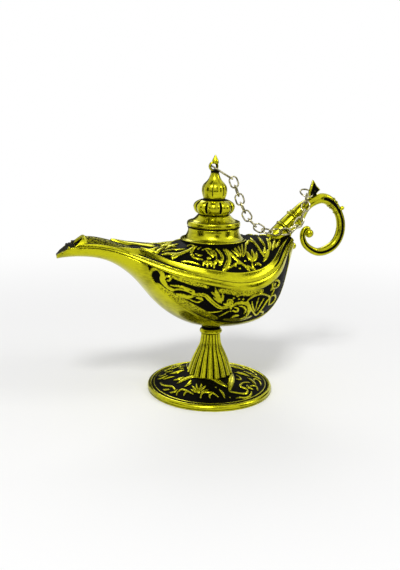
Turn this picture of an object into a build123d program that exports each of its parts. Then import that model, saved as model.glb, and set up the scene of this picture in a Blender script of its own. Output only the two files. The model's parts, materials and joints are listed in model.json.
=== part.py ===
from build123d import *
import math
import os

os.makedirs("parts", exist_ok=True)

# An oil lamp of cast metal on a round foot. The origin is on the table, under the middle of the foot.
# +Z is up, the spout points along -X and the handle along +X. Lengths are millimetres.

# Casting
wall = 1.5
seat_land = 1.0  # of upright wall inside, on both sides of the seam
seam_gap = 0.1  # between the cover and the bowl, along the joint that shows as a dark line
seat_gap = 0.12  # between parts that only rest on each other
overrun = 2.0  # how far a cutting body runs past the face that it opens

# Foot, a domed disc that is hollow below
foot_radius = 26.8
foot_rim_height = 2.3
foot_rim_width = 2.2
foot_groove_depth = 0.5
foot_top = 7.2
foot_wall = 2.0
foot_boss_radius = 6.4
foot_boss_floor = 4.4  # underside of the boss that the tie screw's washer bears on
foot_edge_round = 0.9

# Fluted stem between the foot and the bead
stem_foot_radius = 10.0
stem_neck_radius = 4.15
stem_height = 17.3
flute_count = 18
flute_depth_share = 0.13  # of the radius at each height
stem_height_shares = (0.0, 0.12, 0.34, 0.56, 0.74, 1.0)
stem_flare_shares = (1.0, 0.86, 0.62, 0.32, 0.1, 0.0)  # of the step from the neck radius to the foot radius

# Bead between the stem and the bowl
bead_radius = 4.8
bead_height = 3.0
bead_waist_radius = 3.9
bead_edge_shares = (0.18, 0.5)  # height of its widest band, of the bead's height
bead_waist_share = 0.72

# Tie screw that holds foot, stem, bead and bowl together
screw_radius = 2.0
screw_clearance = 0.3
thread_clearance = 0.05
screw_head_radius = 3.7
screw_head_height = 2.2
screw_head_edge = 0.9  # height of its straight side
screw_head_face_radius = 3.0
screw_slot_width = 1.0
screw_slot_depth = 1.1
washer_radius = 4.7
washer_thickness = 0.8

# Bowl and cover share one hull, cut in two along the seam
spout_reach = 64.5  # stem axis to the tip of the lip
rear_reach = 36.3  # stem axis to the back of the hull
hull_floor = 28.5  # lowest point of the hull, above the table
hull_depth = 40.2  # from there to its crest below the neck
hull_half_width = 25.3
calyx_radius = 8.2  # flare under the bowl, where it meets the bead
calyx_waist_radius = 3.7
boss_radius = 4.4
boss_height = 5.0
boss_margin = 1.0  # of metal above the end of the screw

# Stations of the hull from the spout to the handle. Each is a section in the plane through a floor point
# and a crest point: x of the floor, height of the floor, x of the crest, height of the crest, where the
# seam crosses between the two, and the half width there. x is a share of the reach on its side.
station_shares = (
    (-1.085, 0.770, -1.085, 0.975, 0.47, 0.135),
    (-0.990, 0.783, -0.985, 0.990, 0.49, 0.165),
    (-0.900, 0.793, -0.890, 1.003, 0.51, 0.190),
    (-0.768, 0.775, -0.783, 1.002, 0.49, 0.226),
    (-0.640, 0.697, -0.675, 0.962, 0.55, 0.300),
    (-0.508, 0.520, -0.566, 0.918, 0.63, 0.435),
    (-0.382, 0.280, -0.434, 0.885, 0.70, 0.620),
    (-0.228, 0.095, -0.279, 0.888, 0.675, 0.825),
    (-0.062, 0.010, -0.062, 0.950, 0.590, 0.985),
    (0.248, 0.000, 0.165, 0.958, 0.560, 1.000),
    (0.545, 0.058, 0.399, 0.940, 0.615, 0.880),
    (0.748, 0.230, 0.565, 0.930, 0.660, 0.700),
    (0.862, 0.455, 0.689, 0.922, 0.680, 0.500),
    (0.942, 0.643, 0.799, 0.926, 0.715, 0.330),
    (1.000, 0.792, 0.915, 0.948, 0.740, 0.190),
)
tip_stations = 2  # stations beyond the joint of cover and bowl, at the mouth
cavity_stations = 13  # of the stations, those that the hollow reaches
crown_pull_shares = ((1.0, 0.15), (0.62, 1.0))  # that draw the curve from the seam up to the crest

# The lip, where the bowl's edge turns down past the cover, as shares of the spout's reach and of the depth
lip_shares = (
    (-1.030, 0.700),
    (-1.003, 0.765),
    (-0.984, 0.815),
    (-0.955, 0.862),
    (-0.915, 0.902),
    (-0.890, 0.925),
)
mouth_foot_share = -0.900  # where the cover's front edge starts at the seam, as a share of the spout's reach
mouth_slope = 48.0  # degrees that the mouth leans back from upright

# Neck of the cover, and its bore
neck_foot_share = 0.908  # height of the neck's foot, of the hull's depth
neck_height = 5.1
neck_top_radius = 10.4
neck_foot_radius = 14.2
neck_bore_radius = 8.0
neck_flare = 6.6  # radius of its hollow outline

# Lid and finial, turned about the stem axis. Heights go up from the lid's seat on the neck.
lid_gap = 0.15
skirt_depth = 4.2
skirt_clearance = 0.2
skirt_wall = 1.2
lid_hollow_height = 3.4
flange_radius = 10.8
flange_height = 2.4
flange_top_radius = 10.3
waist_radius = 6.3
waist_rise = 2.9  # over the flange
waist_flare = 5.3  # radius of the hollow outline up to the waist
collar_radius = 8.5
collar_core_round = 3.8
collar_height = 5.8
lobe_count = 8
lobe_depth_share = 0.16
# Levels of the lobed collar: share of its height over the waist, and share of its radius
lobe_level_shares = ((0.0, 0.70), (0.25, 0.90), (0.52, 1.0), (0.80, 0.90), (1.0, 0.56))
upper_waist_radius = 4.5
bulb_radius = 5.15
bulb_rise = 4.0  # of its widest place over the collar
shoulder_radius = 3.7
shoulder_rise = 2.6  # over the bulb's widest place
taper_radius = 1.7
taper_rise = 3.5  # over the shoulder
eye_rise = 3.2  # over the taper
eye_radius = 2.15
eye_thickness = 2.0
eye_hole_radius = 1.05
eye_offset = 0.45  # of the disc from the lid's axis, towards the spout
eye_hole_offset = 1.2
spike_radius = 1.55
spike_rise = 4.5  # over the eye
spike_tip_radius = 0.3

# Handle, a round bar that climbs from the back of the cover and closes in a scroll. The path's points are
# shares of the loop's half width and half height from its centre, and of the root's radius.
loop_run = 13.7  # from the back of the hull to the loop's middle
loop_rise = 0.5  # of the loop's middle over the hull's highest level
loop_half_width = 9.9
loop_half_height = 11.7
root_radius = 3.8
handle_shares = (
    (-2.37, -0.56, 0.97),
    (-2.09, -0.30, 1.00),
    (-1.77, -0.07, 1.03),
    (-1.49, 0.15, 1.00),
    (-1.19, 0.39, 0.92),
    (-0.92, 0.66, 0.73),
    (-0.52, 0.88, 0.57),
    (-0.02, 1.00, 0.58),
    (0.40, 0.87, 0.57),
    (0.75, 0.57, 0.49),
    (0.98, 0.15, 0.50),
    (0.99, -0.32, 0.53),
    (0.77, -0.71, 0.54),
    (0.38, -0.94, 0.54),
    (-0.06, -1.01, 0.46),
    (-0.44, -0.89, 0.41),
    (-0.74, -0.68, 0.37),
    (-0.87, -0.39, 0.33),
    (-0.82, -0.18, 0.30),
    (-0.68, -0.10, 0.29),
    (-0.55, -0.17, 0.26),
)
scroll_ball_shares = (-0.55, -0.29)
scroll_ball_radius = 1.9
tenon_radius = 1.8
tenon_length = 6.8  # from the third point of the bar's path
tenon_clearance = 0.06
root_gap = 0.05  # between the bar's foot and the cover
ring_beads = ((0.135, 0.75), (0.152, 0.6))  # along the bar as a share, and the radius of the bead
heel_ball_radius = 1.7
heel_shares = (1.03, 0.815)

# Thumb leaf on top of the handle, with the eye for the chain, as shares of its height
leaf_foot_run = -4.4  # from the loop's middle
leaf_foot_rise = 11.4
leaf_height = 8.2
leaf_thickness = 1.8
leaf_shares = (
    (-0.22, 0.0),
    (-0.30, 0.36),
    (-0.10, 1.0),
    (0.10, 0.72),
    (0.34, 0.50),
    (0.12, 0.28),
    (0.22, 0.0),
)
leaf_eye_radius = 0.75
leaf_eye_run = 2.2  # of the slanting hole, each way from its middle
leaf_eye_shares = (-0.10, 0.33)

# Chain
wire_radius = 0.38
wire_sides = 6
wire_end_runs = 4  # straight runs in each half turn of a ring or link
link_gap = 0.16  # clear distance between wires that hook through each other
link_count = 15
link_width = 3.3  # across, between the middles of the wire
lid_ring_length = 9.9  # between the middles of the wire
lid_ring_width = 5.5
lid_ring_dip = 31.0  # degrees below level
chain_yaw = 11.0  # degrees that the chain's hanging run turns towards the near side
hook_ring_radius = 2.7
hook_ring_lean = 60.0  # degrees that the ring leans back from upright
hook_ring_turn = 67.5  # degrees round the ring from its far side to the run that the last link hooks on
lid_ring_slack = 0.2  # of the ring's near end past the middle of the eye
# Route between the two rings, as shares of the handle loop's x, of the hull's half width on the near side,
# and of the hull's depth
route_shares = (
    (0.222, 0.070, 1.275),
    (0.340, 0.108, 1.050),
    (0.440, 0.150, 0.985),
    (0.530, 0.200, 0.975),
    (0.620, 0.238, 0.985),
    (0.700, 0.258, 1.040),
    (0.738, 0.250, 1.120),
    (0.785, 0.205, 1.235),
)
hanging_links = 5  # links that hang straight, before the chain starts to turn on its side
link_roll = 80.0  # degrees that the last link has turned


def rise(share):
    """Height above the table of a share of the hull's depth."""
    return hull_floor + hull_depth * share


def along(share):
    """Place along X of a share of the reach to the spout or to the back."""
    return share * (spout_reach if share < 0 else rear_reach)


def station_points(station):
    """Floor, seam and crest points of a station, and its half width."""
    floor_x, floor_z, crest_x, crest_z, seam_at, width = station
    floor = Vector(along(floor_x), 0, rise(floor_z))
    crest = Vector(along(crest_x), 0, rise(crest_z))
    return floor, floor + (crest - floor) * seam_at, crest, hull_half_width * width


def section_plane(station):
    """The plane of a station's section, with its origin on the seam and Y upward."""
    floor, seam, crest, half_width = station_points(station)
    up = (crest - floor).normalized()
    return Plane(seam, x_dir=(0, 1, 0), z_dir=(up.Z, 0, -up.X))


def lower_hull(inset, opened, last=len(station_shares)):
    """The hull below the seam, drawn in by inset all round, and carried past the seam by opened."""
    with BuildPart() as body:
        for station in station_shares[:last]:
            floor, seam, crest, half_width = station_points(station)
            half = half_width - inset
            depth = (seam - floor).length - inset
            with BuildSketch(section_plane(station)):
                with BuildLine():
                    top = -seat_land if opened else 0
                    EllipticalCenterArc((0, top), half, depth + top, start_angle=180, arc_size=90)
                    EllipticalCenterArc((0, top), half, depth + top, start_angle=270, arc_size=90)
                    if opened:
                        Polyline((half, top), (half, opened), (-half, opened), (-half, top))
                    else:
                        Line((half, top), (-half, top))
                make_face()
        loft()
    return body.part


def upper_hull(inset, foot, last=len(station_shares)):
    """The hull above the seam, drawn in by inset all round. It starts foot above the seam, or below it."""
    with BuildPart() as body:
        for station in station_shares[:last]:
            floor, seam, crest, half_width = station_points(station)
            half = half_width - inset
            high = (crest - seam).length - inset
            pulls = [(half * y, high * z) for y, z in crown_pull_shares]
            mirrored = [(-y, z) for y, z in reversed(pulls)]
            with BuildSketch(section_plane(station)):
                with BuildLine():
                    base = seat_land if foot < 0 else foot
                    Bezier((half, base), *pulls, (0, high))
                    Bezier((0, high), *mirrored, (-half, base))
                    if foot < 0:
                        Polyline((-half, base), (-half, foot), (half, foot), (half, base))
                    else:
                        Line((-half, base), (half, base))
                make_face()
        loft()
    return body.part


neck_foot = rise(neck_foot_share)
neck_top = neck_foot + neck_height
stem_top = foot_top + seat_gap + stem_height
bead_floor = stem_top + seat_gap
bead_top = bead_floor + bead_height
calyx_floor = bead_top + seat_gap
screw_floor = foot_boss_floor - washer_thickness - seat_gap
screw_top = hull_floor + boss_height
lip_line = [(along(x), rise(z)) for x, z in lip_shares]
loop_centre_x = rear_reach + loop_run
loop_centre_z = rise(1) + loop_rise
leaf_foot_x = loop_centre_x + leaf_foot_run
leaf_foot_z = loop_centre_z + leaf_foot_rise

# Foot: rim, groove and dome in one profile, hollow below, with a boss for the screw
with BuildPart() as foot:
    with BuildSketch(Plane.XZ):
        dome_edge = foot_radius - foot_rim_width
        with BuildLine():
            Polyline(
                (screw_radius + screw_clearance, foot_boss_floor),
                (screw_radius + screw_clearance, foot_top),
                (stem_foot_radius, foot_top),
            )
            ThreePointArc(
                (stem_foot_radius, foot_top),
                ((stem_foot_radius + dome_edge) / 2, (foot_top + foot_rim_height) / 2 + foot_groove_depth),
                (dome_edge, foot_rim_height),
            )
            Polyline(
                (dome_edge, foot_rim_height),
                (dome_edge, foot_rim_height - foot_groove_depth),
                (dome_edge + foot_groove_depth, foot_rim_height - foot_groove_depth),
                (dome_edge + foot_groove_depth, foot_rim_height),
                (foot_radius - foot_edge_round, foot_rim_height),
            )
            RadiusArc(
                (foot_radius - foot_edge_round, foot_rim_height),
                (foot_radius, foot_rim_height - foot_edge_round),
                foot_edge_round,
            )
            Polyline(
                (foot_radius, foot_rim_height - foot_edge_round),
                (foot_radius, 0),
                (dome_edge - foot_groove_depth, 0),
            )
            ThreePointArc(
                (dome_edge - foot_groove_depth, 0),
                ((foot_boss_radius + dome_edge) / 2, (foot_top + foot_rim_height) / 2 - foot_wall),
                (foot_boss_radius, foot_top - foot_wall),
            )
            Polyline(
                (foot_boss_radius, foot_top - foot_wall),
                (foot_boss_radius, foot_boss_floor),
                (screw_radius + screw_clearance, foot_boss_floor),
            )
        make_face()
    revolve(axis=Axis.Z)
foot.part.label = "foot"
export_step(foot.part, "parts/foot.step")


def lobed_outline(radius, count, depth_share):
    """A ring of outward arcs round the stem axis, with valleys a share of the radius deep."""
    valley = radius * (1 - depth_share)
    step = 360 / count
    with BuildLine() as outline:
        for flute in range(count):
            start, middle, end = flute * step, (flute + 0.5) * step, (flute + 1) * step
            ThreePointArc(
                (valley * math.cos(math.radians(start)), valley * math.sin(math.radians(start))),
                (radius * math.cos(math.radians(middle)), radius * math.sin(math.radians(middle))),
                (valley * math.cos(math.radians(end)), valley * math.sin(math.radians(end))),
            )
    return outline.line


# Stem: lobed sections that narrow from the foot to the bead, bored for the screw
with BuildPart() as stem:
    for height_share, flare_share in zip(stem_height_shares, stem_flare_shares):
        level = foot_top + seat_gap + stem_height * height_share
        with BuildSketch(Plane.XY.offset(level)):
            radius = stem_neck_radius + (stem_foot_radius - stem_neck_radius) * flare_share
            add(lobed_outline(radius, flute_count, flute_depth_share))
            make_face()
    loft()
    with BuildSketch(Plane.XY.offset(foot_top)):
        Circle(screw_radius + screw_clearance)
    extrude(amount=stem_height + overrun, mode=Mode.SUBTRACT)
stem.part.label = "fluted_stem"
export_step(stem.part, "parts/fluted_stem.step")

# Bead: a banded ring with a waist above it
with BuildPart() as bead:
    with BuildSketch(Plane.XZ):
        with BuildLine():
            Polyline(
                (screw_radius + screw_clearance, bead_floor),
                (stem_neck_radius, bead_floor),
                (bead_radius, bead_floor + bead_height * bead_edge_shares[0]),
                (bead_radius, bead_floor + bead_height * bead_edge_shares[1]),
                (bead_waist_radius, bead_floor + bead_height * bead_waist_share),
                (bead_waist_radius, bead_top),
                (screw_radius + screw_clearance, bead_top),
                (screw_radius + screw_clearance, bead_floor),
            )
        make_face()
    revolve(axis=Axis.Z)
bead.part.label = "stem_bead"
export_step(bead.part, "parts/stem_bead.step")

# Tie screw with a slotted head, and its washer
with BuildPart() as screw:
    with BuildSketch(Plane.XZ):
        with BuildLine():
            Polyline(
                (0, screw_floor - screw_head_height),
                (0, screw_top - boss_margin),
                (screw_radius, screw_top - boss_margin),
                (screw_radius, screw_floor),
                (screw_head_radius, screw_floor),
                (screw_head_radius, screw_floor - screw_head_edge),
                (screw_head_face_radius, screw_floor - screw_head_height),
                (0, screw_floor - screw_head_height),
            )
        make_face()
    revolve(axis=Axis.Z)
    with BuildSketch(Plane.XY.offset(screw_floor - screw_head_height)):
        Rectangle(2 * (screw_head_radius + overrun), screw_slot_width)
    extrude(amount=screw_slot_depth, mode=Mode.SUBTRACT)
screw.part.label = "tie_screw"
export_step(screw.part, "parts/tie_screw.step")

with BuildPart() as washer:
    with BuildSketch(Plane.XY.offset(screw_floor + seat_gap / 2)):
        Circle(washer_radius)
        Circle(screw_radius + screw_clearance, mode=Mode.SUBTRACT)
    extrude(amount=washer_thickness)
washer.part.label = "tie_washer"
export_step(washer.part, "parts/tie_washer.step")

# Bowl: the hull below the seam, with the calyx and the screw boss
with BuildPart() as bowl:
    add(lower_hull(0, 0))
    with BuildSketch(Plane.XZ):
        with BuildLine():
            Line((0, calyx_floor), (calyx_waist_radius, calyx_floor))
            RadiusArc(
                (calyx_waist_radius, calyx_floor),
                (calyx_radius, hull_floor + wall),
                hull_floor + wall - calyx_floor + calyx_waist_radius,
            )
            Polyline((calyx_radius, hull_floor + wall), (0, hull_floor + wall), (0, calyx_floor))
        make_face()
    revolve(axis=Axis.Z)
    add(lower_hull(wall, overrun, last=cavity_stations), mode=Mode.SUBTRACT)
    with BuildSketch(Plane.XZ):
        with BuildLine():
            Spline(*lip_line)
            Polyline(
                lip_line[-1],
                (lip_line[-1][0], neck_top),
                (along(station_shares[0][0]) - overrun, neck_top),
                (along(station_shares[0][0]) - overrun, lip_line[0][1]),
                lip_line[0],
            )
        make_face()
    extrude(amount=hull_half_width, both=True, mode=Mode.SUBTRACT)
    with BuildSketch(Plane.XY.offset(hull_floor + wall / 2)):
        Circle(boss_radius)
    extrude(amount=boss_height - wall / 2)
    with BuildSketch(Plane.XY.offset(calyx_floor)):
        Circle(screw_radius + thread_clearance)
    extrude(amount=screw_top - calyx_floor + overrun, mode=Mode.SUBTRACT)
    with Locations((along(heel_shares[0]), 0, rise(heel_shares[1]))):
        Sphere(heel_ball_radius)
bowl.part.label = "bowl"
export_step(bowl.part, "parts/bowl.step")


def handle_point(shares):
    """Place of a point given in shares of the loop's half sizes."""
    x_share, z_share = shares
    return Vector(loop_centre_x + loop_half_width * x_share, 0, loop_centre_z + loop_half_height * z_share)


handle_points = [handle_point(shares[:2]) for shares in handle_shares]
handle_path = Spline(*handle_points)
tenon_point = handle_points[2]
tenon_dir = (tenon_point - handle_points[1]).normalized()

# Cover: the hull above the seam, with the neck, the mouth and a socket for the handle's tenon
mouth_x = along(mouth_foot_share)
mouth_z = station_points(station_shares[tip_stations])[1].Z
mouth_dir = Vector(math.sin(math.radians(mouth_slope)), 0, math.cos(math.radians(mouth_slope)))
mouth_plane = Plane((mouth_x, 0, mouth_z), x_dir=(0, 1, 0), z_dir=(-mouth_dir.Z, 0, mouth_dir.X))
with BuildPart() as cover:
    add(upper_hull(0, seam_gap))
    with BuildSketch(Plane.XZ):
        with BuildLine():
            Line((neck_top_radius, neck_top), (0, neck_top))
            Line((0, neck_top), (0, neck_foot))
            Line((0, neck_foot), (neck_foot_radius, neck_foot))
            RadiusArc((neck_foot_radius, neck_foot), (neck_top_radius, neck_top), -neck_flare)
        make_face()
    revolve(axis=Axis.Z)
    add(upper_hull(wall, -overrun, last=cavity_stations), mode=Mode.SUBTRACT)
    with BuildSketch(Plane.XY.offset(neck_foot - overrun)):
        Circle(neck_bore_radius)
    extrude(amount=neck_top - neck_foot + 2 * overrun, mode=Mode.SUBTRACT)
    split(bisect_by=mouth_plane, keep=Keep.BOTTOM)
    with BuildSketch(Plane(tenon_point, z_dir=-tenon_dir)):
        Circle(tenon_radius + tenon_clearance)
    extrude(amount=tenon_length + tenon_clearance, mode=Mode.SUBTRACT)
cover.part.label = "cover"
export_step(cover.part, "parts/cover.step")

# Lid: flange, waists, lobed collar, bulb, taper, eye and spike, with a hollow skirt that drops into the neck
lid_floor = neck_top + lid_gap
skirt_radius = neck_bore_radius - skirt_clearance


def lid_level(height):
    """Height above the table of a height above the lid's seat."""
    return lid_floor + height


waist_level = lid_level(flange_height + waist_rise)
collar_level = waist_level + collar_height
bulb_level = collar_level + bulb_rise
shoulder_level = bulb_level + shoulder_rise
taper_level = shoulder_level + taper_rise
eye_level = taper_level + eye_rise

with BuildPart() as lid:
    with BuildSketch(Plane.XZ):
        with BuildLine():
            Polyline(
                (0, lid_level(lid_hollow_height)),
                (skirt_radius - skirt_wall, lid_level(lid_hollow_height - skirt_wall)),
                (skirt_radius - skirt_wall, lid_level(-skirt_depth)),
                (skirt_radius, lid_level(-skirt_depth)),
                (skirt_radius, lid_level(0)),
                (flange_radius, lid_level(0)),
            )
            ThreePointArc(
                (flange_radius, lid_level(0)),
                (flange_radius + skirt_clearance, lid_level(flange_height / 2)),
                (flange_top_radius, lid_level(flange_height)),
            )
            RadiusArc((flange_top_radius, lid_level(flange_height)), (waist_radius, waist_level), waist_flare)
            RadiusArc((waist_radius, waist_level), (upper_waist_radius, collar_level), collar_core_round)
            ThreePointArc(
                (upper_waist_radius, collar_level),
                (bulb_radius, bulb_level),
                (shoulder_radius, shoulder_level),
            )
            RadiusArc((shoulder_radius, shoulder_level), (taper_radius, taper_level), -bulb_radius)
            Polyline(
                (taper_radius, taper_level),
                (spike_radius, eye_level),
                (spike_tip_radius, eye_level + spike_rise),
                (0, eye_level + spike_rise),
                (0, lid_level(lid_hollow_height)),
            )
        make_face()
    revolve(axis=Axis.Z)
    for height_share, radius_share in lobe_level_shares:
        with BuildSketch(Plane.XY.offset(waist_level + collar_height * height_share)):
            add(lobed_outline(collar_radius * radius_share, lobe_count, lobe_depth_share))
            make_face()
    loft(ruled=True)
    with BuildSketch(Plane.XZ):
        with Locations((-eye_offset, eye_level)):
            Circle(eye_radius)
    extrude(amount=eye_thickness / 2, both=True)
    with BuildSketch(Plane.XZ):
        with Locations((-eye_hole_offset, eye_level)):
            Circle(eye_hole_radius)
    extrude(amount=eye_radius, both=True, mode=Mode.SUBTRACT)
lid.part.label = "lid"
export_step(lid.part, "parts/lid.step")


hook_lean = math.radians(hook_ring_lean)
leaf_eye_dir = Vector(0, math.sin(hook_lean), math.cos(hook_lean))
# Handle: round sections along the path, the scroll's ball, the leaf with its eye, and a tenon into the cover
with BuildPart() as handle:
    for middle, shares in zip(handle_points, handle_shares):
        bar_dir = handle_path % handle_path.param_at_point(middle)
        with BuildSketch(Plane(middle, x_dir=(0, 1, 0), z_dir=bar_dir)):
            Circle(root_radius * shares[2])
    loft()
    with Locations(handle_point(scroll_ball_shares)):
        Sphere(scroll_ball_radius)
    for at, bead_size in ring_beads:
        crossing = handle_path @ at
        nearest = min(range(len(handle_points)), key=lambda place: (handle_points[place] - crossing).length)
        radius = root_radius * handle_shares[nearest][2]
        with Locations(Plane(crossing, z_dir=handle_path % at)):
            Cone(radius, radius + bead_size, bead_size, align=(Align.CENTER, Align.CENTER, Align.MAX))
            Cone(radius + bead_size, radius, bead_size, align=(Align.CENTER, Align.CENTER, Align.MIN))
    with BuildSketch(Plane.XZ):
        with BuildLine():
            Polyline(
                *[(leaf_foot_x + leaf_height * x, leaf_foot_z + leaf_height * z) for x, z in leaf_shares],
                close=True,
            )
        make_face()
    extrude(amount=leaf_thickness / 2, both=True)
    add(upper_hull(-root_gap, 0), mode=Mode.SUBTRACT)
    add(lower_hull(-root_gap, overrun), mode=Mode.SUBTRACT)
    with BuildSketch(Plane(tenon_point, z_dir=-tenon_dir)):
        Circle(tenon_radius)
    extrude(amount=tenon_length)
    leaf_eye = Vector(
        leaf_foot_x + leaf_height * leaf_eye_shares[0], 0, leaf_foot_z + leaf_height * leaf_eye_shares[1]
    )
    with BuildSketch(Plane(leaf_eye, x_dir=(1, 0, 0), z_dir=leaf_eye_dir)):
        Circle(leaf_eye_radius)
    extrude(amount=leaf_eye_run, both=True, mode=Mode.SUBTRACT)
handle.part.label = "handle"
export_step(handle.part, "parts/handle.step")


def oval_wire(middle, long_dir, normal, length, width):
    """A closed oval of wire about its middle, in short straight runs, sized between wire middles."""
    run = (length - width) / 2
    turns = [math.pi * (step / wire_end_runs - 0.5) for step in range(wire_end_runs + 1)]
    end = [(run + width / 2 * math.cos(turn), width / 2 * math.sin(turn)) for turn in turns]
    other_end = [(-x, -y) for x, y in end]
    with BuildPart() as oval:
        with BuildLine(Plane(middle, x_dir=long_dir, z_dir=normal)) as path:
            Polyline(((0, -width / 2), *end, *other_end) if run else (*end, *other_end[1:-1]), close=True)
        with BuildSketch(Plane(path.line @ 0, z_dir=path.line % 0)):
            RegularPolygon(wire_radius, wire_sides)
        sweep(path=path.line, transition=Transition.RIGHT)
    return oval.part


# Ring through the lid's eye, hanging down its dip towards the handle
hook_pitch = 2 * wire_radius + link_gap  # between the middles of two wires that hook through each other
yaw = math.radians(chain_yaw)
chain_run = Vector(math.cos(yaw), -math.sin(yaw), 0)
chain_side = Vector(math.sin(yaw), math.cos(yaw), 0)
dip = math.radians(lid_ring_dip)
lid_ring_dir = chain_run * math.cos(dip) - Vector(0, 0, math.sin(dip))
lid_ring_near = Vector(-eye_hole_offset, 0, eye_level) - lid_ring_dir * lid_ring_slack
lid_ring_far = lid_ring_near + lid_ring_dir * lid_ring_length
with BuildPart() as lid_ring:
    add(
        oval_wire(
            (lid_ring_near + lid_ring_far) / 2,
            lid_ring_dir,
            lid_ring_dir.cross(chain_side),
            lid_ring_length,
            lid_ring_width,
        )
    )
lid_ring.part.label = "lid_ring"
export_step(lid_ring.part, "parts/lid_ring.step")

# Ring through the leaf's eye
hook_turn = math.radians(hook_ring_turn)
hook_middle = leaf_eye - Vector(hook_ring_radius, 0, 0)
hook_run_radius = hook_ring_radius * math.cos(math.pi / (2 * wire_end_runs))
hook_end_dir = Vector(math.cos(hook_turn), 0, 0) + leaf_eye_dir * math.sin(hook_turn)
hook_end = hook_middle - hook_end_dir * hook_run_radius
with BuildPart() as hook_ring:
    add(
        oval_wire(
            hook_middle,
            Vector(1, 0, 0),
            leaf_eye_dir.cross(Vector(1, 0, 0)),
            2 * hook_ring_radius,
            2 * hook_ring_radius,
        )
    )
hook_ring.part.label = "hook_ring"
export_step(hook_ring.part, "parts/hook_ring.step")

# Chain: its links sit at even steps along a route from the lid's ring, over the back of the cover and up the
# near side of the handle to the ring on the leaf. Each hooks through the next with the link gap all round.
route_points = [lid_ring_far + Vector(0, 0, hook_pitch / 2)]
for x_share, y_share, z_share in route_shares:
    route_points.append(Vector(loop_centre_x * x_share, -hull_half_width * y_share, rise(z_share)))
route_points.append(hook_end + Vector(0, 0, hook_pitch / 2))
route = Spline(*route_points)
joints = [route @ (step / link_count) for step in range(link_count + 1)]
link_step = route.length / link_count
for number in range(link_count):
    start, end = joints[number], joints[number + 1]
    link_dir = (end - start).normalized()
    flat_side = link_dir.cross(chain_side).normalized()
    lying = max((number + 1 - hanging_links) / (link_count - hanging_links), 0)
    roll = link_roll * lying + 90 * (number % 2)
    link_normal = link_dir.cross(flat_side).rotate(Axis((0, 0, 0), link_dir), roll)
    with BuildPart() as link:
        add(oval_wire((start + end) / 2, link_dir, link_normal, link_step + hook_pitch, link_width))
    name = f"chain_link_{number + 1:02d}"
    link.part.label = name
    export_step(link.part, f"parts/{name}.step")
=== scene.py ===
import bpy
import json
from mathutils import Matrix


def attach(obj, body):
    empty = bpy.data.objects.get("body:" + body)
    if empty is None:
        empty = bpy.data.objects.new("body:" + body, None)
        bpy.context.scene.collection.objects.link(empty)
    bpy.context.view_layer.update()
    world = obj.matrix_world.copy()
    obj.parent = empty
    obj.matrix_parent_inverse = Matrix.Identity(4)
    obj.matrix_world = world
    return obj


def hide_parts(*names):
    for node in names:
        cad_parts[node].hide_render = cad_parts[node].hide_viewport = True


bl_info = {
    "name": "Oil Lamp Dresser",
    "version": (1, 0, 0),
    "blender": (4, 5, 0),
    "location": "View3D > Sidebar > Oil Lamp",
    "description": "Dresses the packed oil lamp in cast, engraved and polished brass",
    "category": "Object",
}

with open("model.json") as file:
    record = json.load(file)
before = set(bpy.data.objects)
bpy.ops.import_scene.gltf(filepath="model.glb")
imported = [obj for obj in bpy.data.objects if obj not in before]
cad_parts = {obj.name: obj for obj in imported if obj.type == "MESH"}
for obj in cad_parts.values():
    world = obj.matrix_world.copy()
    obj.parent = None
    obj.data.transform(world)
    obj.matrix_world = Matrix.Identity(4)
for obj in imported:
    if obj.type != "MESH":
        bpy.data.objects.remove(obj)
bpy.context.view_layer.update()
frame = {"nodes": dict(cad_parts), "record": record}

import json
import math

import bpy
import numpy as np
from mathutils import Quaternion, Vector

MM = 0.001

# The hull that bowl and cover share, in millimetres. Each station is x and height of the floor point, x and
# height of the crest point, where the seam crosses between them, and the half width at the widest place.
SPOUT_REACH = 64.5
REAR_REACH = 36.3
HULL_FLOOR = 28.5
HULL_DEPTH = 40.2
HALF_WIDTH = 25.3
STATION_SHARES = (
    (-1.085, 0.770, -1.085, 0.975, 0.47, 0.135),
    (-0.990, 0.783, -0.985, 0.990, 0.49, 0.165),
    (-0.900, 0.793, -0.890, 1.003, 0.51, 0.190),
    (-0.768, 0.775, -0.783, 1.002, 0.555, 0.226),
    (-0.640, 0.697, -0.675, 0.962, 0.665, 0.300),
    (-0.508, 0.520, -0.566, 0.918, 0.76, 0.435),
    (-0.382, 0.280, -0.434, 0.885, 0.785, 0.620),
    (-0.228, 0.095, -0.279, 0.888, 0.735, 0.825),
    (-0.062, 0.010, -0.062, 0.950, 0.635, 0.985),
    (0.248, 0.000, 0.165, 0.958, 0.610, 1.000),
    (0.545, 0.058, 0.399, 0.940, 0.650, 0.880),
    (0.748, 0.230, 0.565, 0.930, 0.682, 0.700),
    (0.862, 0.455, 0.689, 0.922, 0.710, 0.500),
    (0.942, 0.643, 0.799, 0.926, 0.725, 0.330),
    (1.000, 0.792, 0.915, 0.948, 0.740, 0.190),
)
# Where the hull is widest between floor and crest, which is where the solids have their seam
WIDEST_SHARES = (0.47, 0.49, 0.51, 0.49, 0.55, 0.63, 0.70, 0.675, 0.590, 0.560, 0.615, 0.660, 0.680, 0.715,
                 0.740)
CROWN_PULLS = ((1.0, 0.15), (0.62, 1.0))
SEAM_GAP = 0.1
NECK_HOLE = 9.0
FIRST_PLACE, LAST_PLACE = 0.45, 14.0  # station places at the spout's tip and the rear

# The lip's line in front of the mouth, and the plane in which the cover ends above it
LIP_SHARES = ((-1.030, 0.700), (-1.003, 0.765), (-0.984, 0.815), (-0.955, 0.862), (-0.915, 0.902),
              (-0.890, 0.925))
MOUTH_X = -0.900 * SPOUT_REACH
MOUTH_SLOPE = math.radians(48.0)

# Length and girth of the skins in millimetres, which set how many faces their meshes have
BOWL_SKIN = (125, 74)
COVER_SKIN = (105, 60)

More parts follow.
